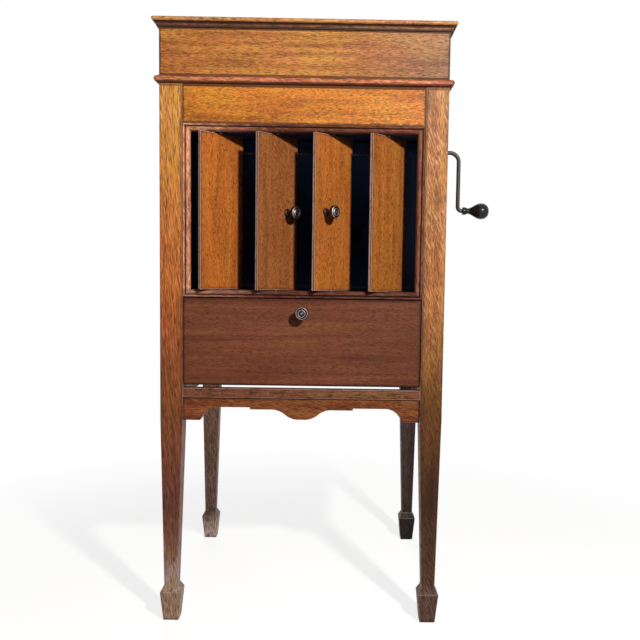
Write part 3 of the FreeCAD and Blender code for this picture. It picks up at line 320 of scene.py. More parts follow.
# %% Oak figure group
def oak_figure():
    colour, number = "NodeSocketColor", "NodeSocketFloat"
    take, give = new_group(
        "oak_figure", "ShaderNodeTree",
        [("Grain", "NodeSocketVector"), ("Base", colour), ("Streaks", number, 1.0), ("Pores", number, 1.0),
         ("Flecks", number, 0.5), ("Fleck Slant", number, 0.5), ("Worn Edge", number, 0.0), ("Worn", colour),
         ("Edge Distance", number, 1.0), ("Grime", number, 0.5)],
        [("Colour", colour), ("Roughness", number), ("Height", number)],
    )
    grain, base = take["Grain"], take["Base"]

    def figure(where, along, across, through=None, detail=2, roughness=0.55):
        """Noise with this many features in a metre of board, along, across and through it."""
        return noise(stretched(where, along, across, through or across), 1.0, detail, roughness)

    # a slow wander, so that no line runs dead straight
    drift = minus(figure(grain, 5, 16), 0.5)
    sway = box("ShaderNodeCombineXYZ", Y=times(drift, 0.016), Z=times(drift, 0.01))
    bent = box("ShaderNodeVectorMath", {"operation": "ADD"}, grain, sway)

    # growth bands and fine streaks, and clouds of redder and yellower stain
    broad = figure(bent, 2.4, 40)
    fine = figure(bent, 56, 380, detail=4, roughness=0.72)
    tone = plus(times(broad, 0.42), times(fine, 0.58))
    tone = times(minus(tone, 0.5), take["Streaks"])
    tone = plus(times(tone, 6.0), 0.5, clamp=True)
    pale = tinted(base, (1.36, 1.34, 1.2, 1))
    deep = tinted(base, (0.56, 0.44, 0.44, 1))
    wood = mixed(tone, deep, pale)
    cloud = figure(grain, 7, 15, detail=3, roughness=0.6)
    stain = mixed(between(cloud, 0.36, 0.64), (1.0, 0.89, 0.93, 1), (1.02, 1.1, 0.88, 1))
    wood = mixed(take["Streaks"], wood, tinted(wood, stain))

    # rays: ribbons that cross the grain at a slant, in patches
    slant = box("ShaderNodeVectorRotate", {"rotation_type": "Z_AXIS"}, Vector=bent,
                Angle=take["Fleck Slant"])
    ray = figure(slant, 30, 340, 110, roughness=0.5)
    patch = figure(grain, 16, 30, detail=1)
    ray = times(between(ray, 0.53, 0.6), between(patch, 0.28, 0.52))
    wood = mixed(times(ray, take["Flecks"]), wood, tinted(base, (1.75, 1.95, 2.3, 1)))

    # pores: large ones that show from across the room, small ones that show close to
    large = between(figure(bent, 62, 460, detail=1), 0.545, 0.63)
    small = between(figure(bent, 120, 1500, detail=1), 0.55, 0.63)
    pore = plus(times(large, 0.78), times(small, 0.42), clamp=True)
    pore = times(pore, take["Pores"], clamp=True)
    wood = mixed(pore, wood, tinted(base, (0.2, 0.13, 0.15, 1)))

    # dirt and painted shade darken every board along its edges and joints
    ragged = times(figure(grain, 45, 130, detail=3), 0.006)
    near = between(minus(take["Edge Distance"], ragged), 0.0015, -0.0015)
    dirt_and_shade = times(near, take["Grime"], clamp=True)
    wood = mixed(dirt_and_shade, wood, tinted(base, (0.13, 0.1, 0.13, 1)))

    # varnish is rubbed thin along the edges, in places down to bare wood
    wear_and_glint = between(figure(grain, 60, 200, detail=3), 0.26, 0.6)
    wear_and_glint = times(wear_and_glint, take["Worn Edge"], clamp=True)
    wood = mixed(times(wear_and_glint, 0.7), wood, take["Worn"])

    # pores and dirt are matt, and pores are sunk
    rough = plus(times(fine, 0.16), 0.34)
    rough = plus(rough, times(maths("MAXIMUM", pore, dirt_and_shade), 0.25), clamp=True)
    feed_all(give, wood, rough, minus(times(fine, 0.35), pore))
    return bench[0]


OAK = oak_figure()
print("oak figure:", len(OAK.nodes), "boxes")

# %% [markdown]
# ## Where dirt and painted shade gather
# Dirt and painted shade need to know how far a spot is from the nearest edge, joint or groove. Each
# board below carries two attributes for its own edges: "seat", metres from its corner, and "reach", its
# size.
# Joints between boards are heights above the floor. The groove in the louvre opening's moulding
# is a rectangle a few millimetres inside the moulding's outer edge.

# %% Distances
OPENING_LOW, OPENING_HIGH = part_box("louvre_frame")


def material(name):
    made = bpy.data.materials.new(name)
    made.use_nodes = True
    return made, begin(made.node_tree).nodes["Principled BSDF"]


def dress(shader, colour, roughness, height, strength, depth):
    """Colour, roughness and a relief go to the shader."""
    relief = box("ShaderNodeBump", Strength=strength, Distance=depth, Height=height)
    for name, value in (("Base Color", colour), ("Roughness", roughness), ("Normal", relief)):
        feed(shader.inputs[name], value)


def attribute(name, output="Vector"):
    return box("ShaderNodeAttribute", {"attribute_name": name}).outputs[output]


def edge_distance():
    """Metres from a spot to the nearest end or side of its board, from two attributes."""
    seat = parts_of(attribute("seat"))
    reach = parts_of(attribute("reach"))
    ways = [maths("MINIMUM", seat[way], minus(reach[way], seat[way])) for way in "XY"]
    return maths("MINIMUM", *ways)


def seam_dirt_and_shade(*heights):
    """1 along joints at these heights above the floor, where dirt and painted shade go: (height, how far
    they reach), in mm.
    """
    height_here = parts_of(spot_on())["Z"]
    total = 0.0
    for height, reach in heights:
        gap = maths("ABSOLUTE", minus(height_here, height * MM))
        total = maths("MAXIMUM", total, between(gap, reach * MM, 0.2 * reach * MM))
    return total


def groove_dirt_and_shade(place, reach):
    """1 in the groove that runs round the louvre opening, this many mm inside its outer edge, where dirt and
    painted shade go.
    """
    here = parts_of(spot_on())
    ways = [minus(OPENING_HIGH.x, maths("ABSOLUTE", here["X"])),
            minus(OPENING_HIGH.z, here["Z"]),
            minus(here["Z"], OPENING_LOW.z)]
    inside = maths("MINIMUM", ways[0], maths("MINIMUM", ways[1], ways[2]))
    gap = maths("ABSOLUTE", minus(inside, place * MM))
    return between(gap, reach * MM, 0.4 * reach * MM)


print("louvre opening", [round(size / MM, 1) for size in OPENING_HIGH - OPENING_LOW], "mm")

# %% [markdown]
# ## One oak material
# A finish is the oak figure with its own base colour and values. "finer" squeezes the figure
# along and across the board, since the boards were sawn from different trees. To draw dirt and
# painted shade in a joint or groove, the distance to the edge is pushed far below zero there.

# %% Oak material
FINISH = {}
# how far joints and the groove push the distance below zero, for dirt and painted shade
DIRT_AND_SHADE_DEPTH = 0.3
CLEAN_EDGE = 4 * MM


def oak(name, base, streaks=1.0, pores=0.8, flecks=0.4, edge=0.5, gloss=0.2, tones=None, slant=0.5,
        grime_and_shade=0.6, joints=(), worn=(0.5, 0.36, 0.29), finer=(1, 1), groove=None):
    made, shader = material("oak_" + name)
    lie = stretched(attribute("grain"), finer[0], finer[1], finer[1])
    figure = box("ShaderNodeGroup", {"node_tree": OAK}, Grain=lie, Worn=(*worn, 1), Streaks=streaks,
                 Pores=pores, Flecks=flecks, Fleck_Slant=slant, Grime=grime_and_shade)
    far = edge_distance()
    wear = times(attribute("eased", "Fac"), edge)
    if joints:
        far = minus(far, times(seam_dirt_and_shade(*joints), DIRT_AND_SHADE_DEPTH))
    if groove:
        line = groove_dirt_and_shade(*groove)
        far = minus(plus(far, CLEAN_EDGE), times(line, DIRT_AND_SHADE_DEPTH))
        wear = times(wear, minus(1.0, line))
    feed(figure.inputs["Edge Distance"], far)
    feed(figure.inputs["Worn Edge"], wear)
    feed(figure.inputs["Base"], (*base, 1) if tones is None else tones(base))
    dress(shader, *figure.outputs, strength=0.25, depth=0.6 * MM)
    shader.inputs["Specular IOR Level"].default_value = gloss
    FINISH[name] = made


print("oak material ready")

# %% [markdown]
# ## Tones that change across the cabinet
# The cabinet was stained and varnished more than a century ago. Each leg has tones of its own
# from foot to golden head, so a colour ramp runs up the leg; on the left feet and the rear-left
# leg it is partly painted light, on the lower legs, the right foot and the rear-right leg partly
# painted shade. The lid, the flap, the moulding and the louvres get a ramp across them, with tints
# at the left and right ends; its two middle stops leave the base colour as it is. The moulding's
# pale left end is painted light and its darker sill painted shade. The chamber is painted darker
# near its top, as painted shade where hardly any light arrives.

# %% Tones
PLAIN = (1, 1, 1)
SILL_HEAD = 595.5 * MM


def ramp(factor, stops):
    """A colour ramp from a list of (place, colour)."""
    made = box("ShaderNodeValToRGB", Fac=factor)
    steps = made.color_ramp.elements
    for place, colour in stops[1:-1]:
        steps.new(place)
    for step, (place, colour) in zip(steps, stops):
        step.position, step.color = place, (*colour, 1)
    return made


def leg_tones(*stops):
    """Tones by height in metres. Above the foot each step wanders by a few centimetres."""
    def tones(base):
        spot = spot_on()
        height = parts_of(spot)["Z"]
        ragged = times(minus(noise(spot, 9, 3), 0.5), 0.12)
        height = plus(height, times(ragged, between(height, 0.06, 0.12)))
        return tinted(ramp(height, stops), (*base, 1))
    return tones


def end_tints(left, right, sill_shade=None):
    """Tints at the left and right ends, and a painted shade below the head of the moulding's sill."""
    def tones(base):
        here = parts_of(spot_on())
        across = plus(times(here["X"], 2.0), 0.5)
        tint = ramp(across, [(0.04, left), (0.4, PLAIN), (0.6, PLAIN), (0.96, right)])
        if sill_shade:
            low = between(here["Z"], SILL_HEAD + MM, SILL_HEAD - MM)
            tint = mixed(low, tint, tinted(tint, (*sill_shade, 1)))
        return tinted((*base, 1), tint)
    return tones


# Front legs: stain by height, partly painted light on the pale left foot and partly painted shade on the
# dark lower legs and the right foot.
LEFT_LEG_STAIN_LIGHT_AND_SHADE = leg_tones((0.0, (0.38, 0.235, 0.18)), (0.05, (0.37, 0.225, 0.175)), (0.075, (0.36, 0.23, 0.21)),
                 (0.13, (0.22, 0.105, 0.066)), (0.22, (0.128, 0.04, 0.024)), (0.42, (0.235, 0.07, 0.0225)),
                 (0.6, (0.455, 0.13, 0.0335)), (0.93, (0.545, 0.25, 0.0625)))
RIGHT_LEG_STAIN_AND_SHADE = leg_tones((0.0, (0.126, 0.068, 0.047)), (0.05, (0.124, 0.066, 0.047)), (0.075, (0.09, 0.04, 0.021)),
                  (0.22, (0.038, 0.0138, 0.0024)), (0.42, (0.14, 0.052, 0.0118)),
                  (0.6, (0.395, 0.168, 0.055)), (0.93, (0.42, 0.192, 0.067)))
# The rear-left leg's pale ramp is painted light; the rear-right leg's dark ramp is painted shade.
REAR_LEFT_PAINTED_LIGHT = leg_tones((0.0, (0.54, 0.41, 0.45)), (0.05, (0.5, 0.37, 0.34)), (0.08, (0.56, 0.35, 0.3)),
                      (0.4, (0.86, 0.48, 0.38)), (0.6, (0.5, 0.2, 0.06)), (0.93, (0.5, 0.2, 0.05)))
REAR_RIGHT_PAINTED_SHADE = leg_tones((0.0, (0.021, 0.014, 0.016)), (0.06, (0.025, 0.017, 0.018)),
                       (0.1, (0.05, 0.032, 0.032)), (0.4, (0.08, 0.055, 0.06)), (0.6, (0.3, 0.12, 0.04)),
                       (0.93, (0.5, 0.2, 0.05)))
SHADE = (0.35, 0.35, 0.35)
SHADED_TOP = leg_tones((0.0, PLAIN), (0.84, PLAIN), (0.862, SHADE), (0.95, SHADE))
print("tones ready")

# %% [markdown]
# ## Oak finishes
# The lid and the top rail are golden, the flap, the apron and the lower legs are red-brown, and
# the chamber behind the louvres is dark paint whose navy tint is painted shade. Dirt and painted
# shade darken where the lid meets its mouldings and the case, and the louvres' narrow edges are
# rubbed to a pale pink.

# %% Finishes
# Joint heights and reaches in mm, where dirt and painted shade darken the wood.
LID_JOINTS = ((1037.1, 3.5), (957.6, 3.5))
CORNICE_JOINTS = ((1045.5, 2.2), (1037.1, 2.0))
BEAD_JOINTS = ((957.6, 1.6), (945.1, 2.6))
CASE_HEAD = ((944.5, 5),)
GREY_PINK = (0.5, 0.34, 0.34)
SLAT = dict(flecks=0.15, streaks=0.55, pores=0.9, edge=1.2, gloss=0.08, grime_and_shade=0.4, worn=(0.78, 0.5, 0.42),
            finer=(2.9, 1.9))
oak("lid", (0.485, 0.205, 0.055), flecks=0.15, grime_and_shade=0.8, joints=LID_JOINTS, finer=(1.7, 1.7),
    tones=end_tints((1.0, 0.92, 0.93), (0.62, 0.7, 1.25)))
oak("lid_top", (0.6, 0.28, 0.11), grime_and_shade=0.3, finer=(1.5, 1.4))
oak("cornice", (0.25, 0.118, 0.06), edge=0.8, flecks=0.2, grime_and_shade=0.9, joints=CORNICE_JOINTS)
oak("bead", (0.57, 0.207, 0.103), edge=0.4, grime_and_shade=0.8, joints=BEAD_JOINTS)
oak("rail", (0.57, 0.212, 0.03), flecks=0.25, slant=-0.5, grime_and_shade=0.9, joints=CASE_HEAD, finer=(2.2, 1.8))
oak("leg_left", PLAIN, flecks=0.75, tones=LEFT_LEG_STAIN_LIGHT_AND_SHADE, slant=0.25, joints=CASE_HEAD, finer=(0.85, 1.3))
oak("leg_right", PLAIN, flecks=0.75, tones=RIGHT_LEG_STAIN_AND_SHADE, joints=CASE_HEAD, finer=(1.4, 1.8))
oak("leg_rear_left", PLAIN, flecks=0.3, gloss=0.12, tones=REAR_LEFT_PAINTED_LIGHT, slant=0.6)
oak("leg_rear_right", PLAIN, flecks=0.3, gloss=0.12, tones=REAR_RIGHT_PAINTED_SHADE, slant=-0.6)
oak("flap", (0.2, 0.068, 0.037), flecks=0.1, streaks=0.6, gloss=0.1, finer=(1.9, 2.6),
    tones=end_tints(PLAIN, (0.79, 0.83, 0.86)))
oak("low_rail", (0.184, 0.073, 0.038), edge=1.3, gloss=0.12, grime_and_shade=0.2, worn=GREY_PINK)
oak("apron", (0.247, 0.083, 0.032), gloss=0.1, finer=(1.2, 1.3))
# The moulding's pale left end is painted light, and its darker sill is painted shade.
oak("moulding", (0.18, 0.064, 0.036), edge=1.2, gloss=0.1, grime_and_shade=0.9, worn=(0.6, 0.4, 0.35),
    groove=(4.6, 1.1), tones=end_tints((4.6, 6.2, 6.9), (1.3, 1.4, 1.5), (0.62, 0.6, 0.72)))
oak("slat", (0.455, 0.154, 0.031), tones=end_tints((1.18, 1.06, 0.98), (0.69, 0.8, 0.88)), **SLAT)
oak("slat_brown", (0.32, 0.116, 0.037), **SLAT)
oak("panel", (0.46, 0.18, 0.045), flecks=0.3, slant=0.55, finer=(1.3, 1.3))
oak("inner", (0.16, 0.085, 0.045), flecks=0.1, gloss=0.1)
# The chamber and horn are dark paint whose navy tint is painted shade, the blue cast of the shade between
# the louvres.
oak("navy_paint_and_shade", (0.052, 0.115, 0.29), streaks=0.08, flecks=0.0, gloss=0.05, edge=0.0, grime_and_shade=0.0,
    pores=0.05, tones=SHADED_TOP)
oak("board", (0.36, 0.17, 0.07), finer=(1.3, 1.3))
print("oak finishes:", ", ".join(FINISH))

# %% [markdown]
# ## Boards with eased edges
# A joiner never leaves an edge knife-sharp: a stroke of the plane takes off a hair, and that
# narrow flat catches the light along every board. A CAD board has no such edge, so each wooden
# node is copied, its loose triangles are merged back into faces, its long sharp edges get a
# two-step bevel, and the copy replaces the node. The bevel's faces are marked "eased" for the
# shader, and every loose board gets its "grain" directions with an offset of its own.

# %% Board maker
SHORTEST_EDGE = 2 * MM


def merged_boards(name, sort):
    """The node's triangles as one merged mesh for each separate board."""
    source = frame["nodes"][name].data
    lots = {}
    for face in source.polygons:
        inside = face.center - face.normal * 0.4 * MM
        corners = [source.vertices[i].co for i in face.vertices]
        lots.setdefault(sort(inside) if sort else 0, []).append(corners)
    boards = []
    for lot in lots.values():
        work = bmesh.new()
        for corners in lot:
            work.faces.new([work.verts.new(corner) for corner in corners])
        bmesh.ops.remove_doubles(work, verts=work.verts, dist=2e-6)
        bmesh.ops.dissolve_degenerate(work, dist=1e-6, edges=work.edges)
        boards.append(work)
    return boards


def islands(work):
    """Lists of faces that hang together."""
    left, found = set(work.faces), []
    while left:
        island, queue = [], [left.pop()]
        while queue:
            face = queue.pop()
            island.append(face)
            for edge in face.edges:
                for other in edge.link_faces:
                    if other in left:
                        left.remove(other)
                        queue.append(other)
        found.append(island)
    return found


def ease(work, width, corner=30):
    """Bevel the long edges sharper than this corner, in degrees, and mark the new faces."""
    bmesh.ops.dissolve_limit(work, angle_limit=math.radians(0.6), verts=work.verts, edges=work.edges)
    mark = work.faces.layers.float.new("eased")
    sharp = [edge for edge in work.edges if len(edge.link_faces) == 2
             and edge.calc_face_angle(0) > math.radians(corner) and edge.calc_length() > SHORTEST_EDGE]
    if width and sharp:
        made = bmesh.ops.bevel(work, geom=sharp, offset=width * MM, offset_type="OFFSET", segments=2,
                               profile=0.6, affect="EDGES", clamp_overlap=True)
        for face in made["faces"]:
            face[mark] = 1.0


def lay_grain(work, along, chance):
    """Metres along, across and through each board as grain, from an offset of its own; and for
    every face metres from its board's corner as seat, and the board's size there as reach."""
    names = ("grain", "seat", "reach")
    grain, seat, reach = [work.loops.layers.float_vector.new(name) for name in names]
    for island in islands(work):
        spots = [vert.co for face in island for vert in face.verts]
        low = [min(spot[i] for spot in spots) for i in range(3)]
        span = [max(spot[i] for spot in spots) - low[i] for i in range(3)]
        order = sorted(range(3), key=lambda i: (-round(span[i], 3), i))
        if along:
            order.sort(key=lambda i: "XYZ"[i] != along)
        shift = Vector([chance.uniform(-40, 40) for _ in range(3)])
        for face in island:
            facing = max(range(3), key=lambda i: abs(face.normal[i]))
            flat = [i for i in range(3) if i != facing]
            for loop in face.loops:
                spot = loop.vert.co
                loop[grain] = Vector([spot[i] for i in order]) + shift
                loop[seat] = [spot[i] - low[i] for i in flat] + [0]
                loop[reach] = [span[i] for i in flat] + [0]


def finished(name, work, finish):
    """Turn a bmesh into a shown object with one finish."""
    mesh = bpy.data.meshes.new(name)
    work.to_mesh(mesh)
    work.free()
    mesh.materials.append(finish)
    return shown(name, mesh)


def plain_mesh(piece):
    """Bake a piece's modifiers into its mesh and take them off."""
    ready = piece.evaluated_get(bpy.context.evaluated_depsgraph_get())
    mesh = bpy.data.meshes.new_from_object(ready)
    piece.modifiers.clear()
    piece.data = mesh
    return piece


def smooth(piece, angle=38):
    """Round surfaces shade round, flat ones stay flat."""
    for face in piece.data.polygons:
        face.use_smooth = True
    piece.data.set_sharp_from_angle(angle=math.radians(angle))
    weigh = piece.modifiers.new("weigh", "WEIGHTED_NORMAL")
    weigh.keep_sharp = True
    return plain_mesh(piece)


def stands_for(piece, node_name):
    """The piece rides with the CAD node that it replaces."""
    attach(piece, body_of(frame["nodes"][node_name])[0])
    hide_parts(node_name)
    return piece


def board(name, finish, width, along=None, corner=30, sort=None):
    """Ease a node's edges by a width in mm. Its grain runs along the board's longest side, unless
    along names another way."""
    chance = random.Random(name)
    joined = bmesh.new()
    scrap = bpy.data.meshes.new("scrap")
    for work in merged_boards(name, sort):
        ease(work, width, corner)
        lay_grain(work, along, chance)
        work.to_mesh(scrap)
        work.free()
        joined.from_mesh(scrap)
    bpy.data.meshes.remove(scrap)
    return stands_for(smooth(finished(name + ".oak", joined, FINISH[finish])), name)


print("board maker ready")

# %% [markdown]
# ## Legs, rails and panels
# The legs run unbroken from floor to lid and end in spade feet. Rails are jointed between them,
# and thin panels close the sides and the back. Each row below names a node, its finish, how much
# its edges are eased in mm, and which way its grain runs where that isn't left to its length.

# %% Case
CASE = (("leg_front_left", "leg_left", 1.0, "Z"), ("leg_front_right", "leg_right", 1.0, "Z"),
        ("leg_rear_left", "leg_rear_left", 1.0, "Z"), ("leg_rear_right", "leg_rear_right", 1.0, "Z"),
        ("front_top_rail", "rail", 0.7, "X"), ("front_lower_rail", "low_rail", 0.9, "X"),
        ("front_apron", "apron", 0.8, "X"), ("case_rails", "panel", 0.8),
        ("side_panel_left", "panel", 0.5, "Z"), ("side_panel_right", "panel", 0.5, "Z"),
        ("back_panel", "inner", 0.5, "Z"), ("record_shelf", "inner", 0.8, "X"),
        ("chamber_floor", "inner", 0.8, "X"), ("board_bearers", "inner", 0.6),
        ("motor_board", "board", 0.6, "X"))
for row in CASE:
    board(*row)
print("case boards made:", len(CASE))

# %% [markdown]
# ## Mitred frames
# The louvre opening has a mitred moulding, and the lid has mitred walls, a cove cornice and a
# half-round bead. Neighbouring lengths touch at their mitres, so their triangles are first
# sorted by the side they belong to; otherwise merging would weld the four lengths into one.

# %% Mouldings
LID_LOW, LID_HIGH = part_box("lid_walls")
LOUVRE_CASE_TOP_BOARD = 865.8 * MM


def furthest(spot, **ways):
    """The side that reaches furthest out at a spot; left and right ones get names of their own."""
    best = max(ways, key=ways.get)
    return best + str(spot.x > 0) if best == "side" else best


def ring_side(spot):
    """Which side of the lid a point inside it belongs to."""
    return furthest(spot, side=abs(spot.x) - LID_HIGH.x, front=LID_LOW.y - spot.y, rear=spot.y - LID_HIGH.y)


def opening_side(spot):
    return furthest(spot, side=abs(spot.x) - OPENING_HIGH.x, upper=spot.z - OPENING_HIGH.z,
                    lower=OPENING_LOW.z - spot.z)


def case_side(spot):
    return "top" if spot.z > LOUVRE_CASE_TOP_BOARD else str(spot.x > 0)


board("louvre_frame", "moulding", 0.25, corner=50, sort=opening_side)
board("lid_walls", "lid", 0.7, sort=ring_side)
board("lid_cornice", "cornice", 0.3, corner=50, sort=ring_side)
board("lid_bead", "bead", 0.3, corner=50, sort=ring_side)
board("lid_top_board", "lid_top", 0.0, "X")
board("louvre_case", "navy_paint_and_shade", 0.5, sort=case_side)
board("horn", "navy_paint_and_shade", 0.5, "Y")
board("fall_flap", "flap", 0.8, "X")
print("mouldings, lid and flap made")

# %% [markdown]
# ## Louvre boards
# Four equal boards stand on pins and turn together, like the slats of a blind. What repeats is
# best described once, so one small geometry tree makes a board from its sizes and its place, and
# it is run once for each board, because each board is a body of its own. A second tree makes the
# brass eye behind it that the tie bar hooks into. On the real boards the back part of each
# narrow edge is rubbed bare, so every board is cut there and those faces are marked as eased.

# %% Geometry tree helpers
LENGTH, GEOMETRY = "NodeSocketFloat", "NodeSocketGeometry"


def grower(name, *sizes):
    """An empty tree that makes a piece from its sizes and its finish."""
    takes = [("Geometry", GEOMETRY), *sizes, ("Finish", "NodeSocketMaterial")]
    return new_group(name, "GeometryNodeTree", takes, [("Geometry", GEOMETRY)])


def grown(name, tree, start=None, **sizes):
    """Run a geometry tree on an empty piece and keep the result as a plain mesh."""
    piece = shown(name, start or bpy.data.meshes.new(name + "_start"))
    run = piece.modifiers.new("grower", "NODES")
    run.node_group = tree
    for item in tree.interface.items_tree:
        label = item.name.replace(" ", "_")
        if label in sizes:
            run[item.identifier] = sizes[label]
    return plain_mesh(piece)


def moved(part, **places):
    return box("GeometryNodeTransform", Geometry=part, **places)


def vector(x=0.0, y=0.0, z=0.0):
    return box("ShaderNodeCombineXYZ", X=x, Y=y, Z=z)


def block(size, centre):
    return moved(box("GeometryNodeMeshCube", Size=size), Translation=centre)


def rod(sides, radius, length, centre):
    made = box("GeometryNodeMeshCylinder", Vertices=sides, Radius=radius, Depth=length)
    return moved(made, Translation=centre)


def cut(solid, tool):
    return box("GeometryNodeMeshBoolean", {"operation": "DIFFERENCE"}, Mesh_1=solid, Mesh_2=tool)


def realized(give, part, finish):
    """Every tree ends in real geometry with its finish on it."""
    solid = box("GeometryNodeRealizeInstances", Geometry=part)
    feed(give[0], box("GeometryNodeSetMaterial", Geometry=solid, Material=finish))
    return bench[0]


# %% Louvre and eye trees
STAND = (("Open", LENGTH, 0.8), ("Along Front", LENGTH, 0.0), ("Depth", LENGTH, -0.2148))
EYE_RING = (52 * MM, 8.5 * MM, 841.25 * MM)
EYE_PLATE = (40 * MM, 3.75 * MM, 841 * MM)
EYE_TONGUE = (47 * MM, 8.35 * MM, 841.25 * MM)
EYE_RADIUS, HOLE_RADIUS, EYE_THICKNESS = 4.2 * MM, 2.06 * MM, 2.5 * MM


def opened(give, part, size):
    """Turn a part about its louvre's axis and stand it in its place."""
    placed = moved(part, Translation=vector(size["Along Front"], size["Depth"], 0.0),
                   Rotation=vector(0.0, 0.0, size["Open"]))
    return realized(give, placed, size["Finish"])


def louvre_tree():
    size, give = grower("louvre_board", ("Width", LENGTH, 0.0963), ("Thickness", LENGTH, 0.006),
                        ("Foot", LENGTH, 0.5952), ("Head", LENGTH, 0.8643), *STAND)
    height = minus(size["Head"], size["Foot"])
    middle = times(plus(size["Head"], size["Foot"]), 0.5)
    plank = block(vector(size["Width"], size["Thickness"], height), vector(z=middle))
    return opened(give, plank, size)


def eye_tree():
    size, give = grower("tie_bar_eye", *STAND)
    plate = block((12 * MM, 1.5 * MM, 18 * MM), EYE_PLATE)
    tongue = block((10 * MM, 8.7 * MM, EYE_THICKNESS), EYE_TONGUE)
    ring = rod(28, EYE_RADIUS, EYE_THICKNESS, EYE_RING)
    drill = rod(20, HOLE_RADIUS, 12 * MM, EYE_RING)
    whole = box("GeometryNodeMeshBoolean", {"operation": "UNION"})
    for part in (plate, tongue, ring):
        feed(whole.inputs["Mesh 2"], part)
    return opened(give, cut(whole, drill), size)


LOUVRE, EYE = louvre_tree(), eye_tree()
print("louvre tree:", len(LOUVRE.nodes), "boxes; eye tree:", len(EYE.nodes), "boxes")

# %% [markdown]
# ## Metal finishes
# A machine like this shows bronze knobs, a black-japanned iron crank, brass hinges and gears, a
# plated arm and turntable, cast iron and bare steel; the tie bar's brass has gone black, and the
# horn's iron elbow wears the chamber's navy, which is painted shade. Metals share cloudy tarnish,
# and the knobs' rings get a painted highlight. One group mixes a clean and a dull colour by cloudy noise
# and roughens the dull part; each metal sets its own two colours.


# %% Handled metal group
def handled_metal():
    colour, number = "NodeSocketColor", "NodeSocketFloat"
    take, give = new_group(
        "handled_metal", "ShaderNodeTree",
        [("Clean", colour), ("Dull", colour), ("Tarnish", number, 0.5), ("Polish", number, 0.25),
         ("Rubbed", number, 0.0)],
        [("Colour", colour), ("Roughness", number), ("Height", number)],
    )
    spot = spot_on()
    cloud = noise(spot, 60, 4, 0.65)
    speck = noise(spot, 900, 2, 0.5)
    dull = between(plus(times(cloud, 0.8), times(speck, 0.2)), 0.35, 0.66)
    dull = times(dull, take["Tarnish"], clamp=True)
    rough = plus(times(dull, 0.35), take["Polish"], clamp=True)
    rough = plus(rough, times(speck, 0.06), clamp=True)
    skin = mixed(dull, take["Clean"], take["Dull"])
    # the pale colour mixed in here is a painted highlight on the knobs' rings
    glint_colour = mixed(0.5, take["Clean"], (0.9, 0.82, 0.8, 1))
    skin = mixed(take["Rubbed"], skin, glint_colour)
    feed_all(give, skin, rough, plus(cloud, times(speck, 0.4)))
    return bench[0]


METAL = handled_metal()


def metal(name, clean, dull, tarnish=0.6, polish=0.25, relief=0.1, metallic=1.0):
    made, shader = material(name)
    worked = box("ShaderNodeGroup", {"node_tree": METAL}, Clean=(*clean, 1), Dull=(*dull, 1),
                 Tarnish=tarnish, Polish=polish, Rubbed=attribute("wear_and_glint", "Fac"))
    dress(shader, *worked.outputs, strength=relief, depth=0.4 * MM)
    shader.inputs["Metallic"].default_value = metallic
    return made


METALS = {
    "bronze": metal("knob_bronze", (0.065, 0.036, 0.036), (0.016, 0.01, 0.012), 0.9, 0.26),
    "black_iron": metal("japanned_iron", (0.022, 0.02, 0.02), (0.05, 0.042, 0.038), 0.5, 0.3, metallic=0.3),
    "iron": metal("cast_iron", (0.02, 0.02, 0.022), (0.012, 0.012, 0.013), 0.7, 0.5, 0.35, metallic=0.2),
    "brass": metal("brass", (0.62, 0.42, 0.16), (0.3, 0.19, 0.08), 0.8, 0.26),
    "nickel": metal("nickel_plate", (0.62, 0.6, 0.56), (0.36, 0.33, 0.28), 0.5, 0.16),
    "steel": metal("steel", (0.5, 0.5, 0.5), (0.2, 0.17, 0.15), 0.6, 0.24),
}
DARK_BRASS = metal("navy_paint_and_shade_brass", (0.03, 0.024, 0.018), (0.012, 0.01, 0.01), 0.8, 0.5)
# The horn elbow's navy is painted shade, like the chamber's.
PAINTED_IRON = metal("painted_iron", (0.04, 0.09, 0.24), (0.032, 0.072, 0.2), 0.6, 0.7, metallic=0.0)
APART = {"louvre_tie_bar": DARK_BRASS, "horn_elbow": PAINTED_IRON}
for node_name, slot in slot_of.items():
    if slot in METALS or node_name in APART:
        coats = frame["nodes"][node_name].data.materials
        coats.clear()
        coats.append(APART.get(node_name) or METALS[slot])
print("metals:", ", ".join(METALS))

# %% Louvre boards and their eyes
RUBBED_BEHIND = -0.3 * MM
turns = {joint["name"]: joint for joint in frame["record"]["behaviour"]["joints"]}
OPEN = math.radians(-turns["louvre_1_turn"]["range_deg"][0])


def rub_narrow_edges(work):
    """Cut a shut board through its thickness, and mark only the edges behind the cut as eased."""
    everything = work.verts[:] + work.edges[:] + work.faces[:]
    bmesh.ops.bisect_plane(work, geom=everything, plane_co=(0, RUBBED_BEHIND, 0), plane_no=(0, 1, 0))
    mark = work.faces.layers.float["eased"]
    for face in work.faces:
        face[mark] = float(abs(face.normal.x) > 0.3 and face.calc_center_median().y > RUBBED_BEHIND)


for number in range(4):
    node_name = f"louvre_{number + 1}"
    across, depth, _ = turns[node_name + "_turn"]["pos_m"]
    stand = dict(Open=OPEN, Along_Front=across, Depth=depth)
    slat = grown(node_name + ".oak", LOUVRE, Finish=FINISH["slat_brown" if number == 1 else "slat"], **stand)
    work = bmesh.new()
    work.from_mesh(slat.data)
    work.transform(Matrix.Rotation(-OPEN, 4, "Z") @ Matrix.Translation((-across, -depth, 0)))
    ease(work, 0.25)
    rub_narrow_edges(work)
    lay_grain(work, "Z", random.Random(number + 5))
    work.transform(Matrix.Translation((across, depth, 0)) @ Matrix.Rotation(OPEN, 4, "Z"))
    work.to_mesh(slat.data)
    work.free()
    stands_for(smooth(slat), node_name)
    eye = grown(node_name + ".eye", EYE, Finish=DARK_BRASS, **stand)
    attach(eye, node_name)
    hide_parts(node_name)
print("louvre board:", len(slat.data.polygons), "faces; eye:", len(eye.data.polygons), "faces")

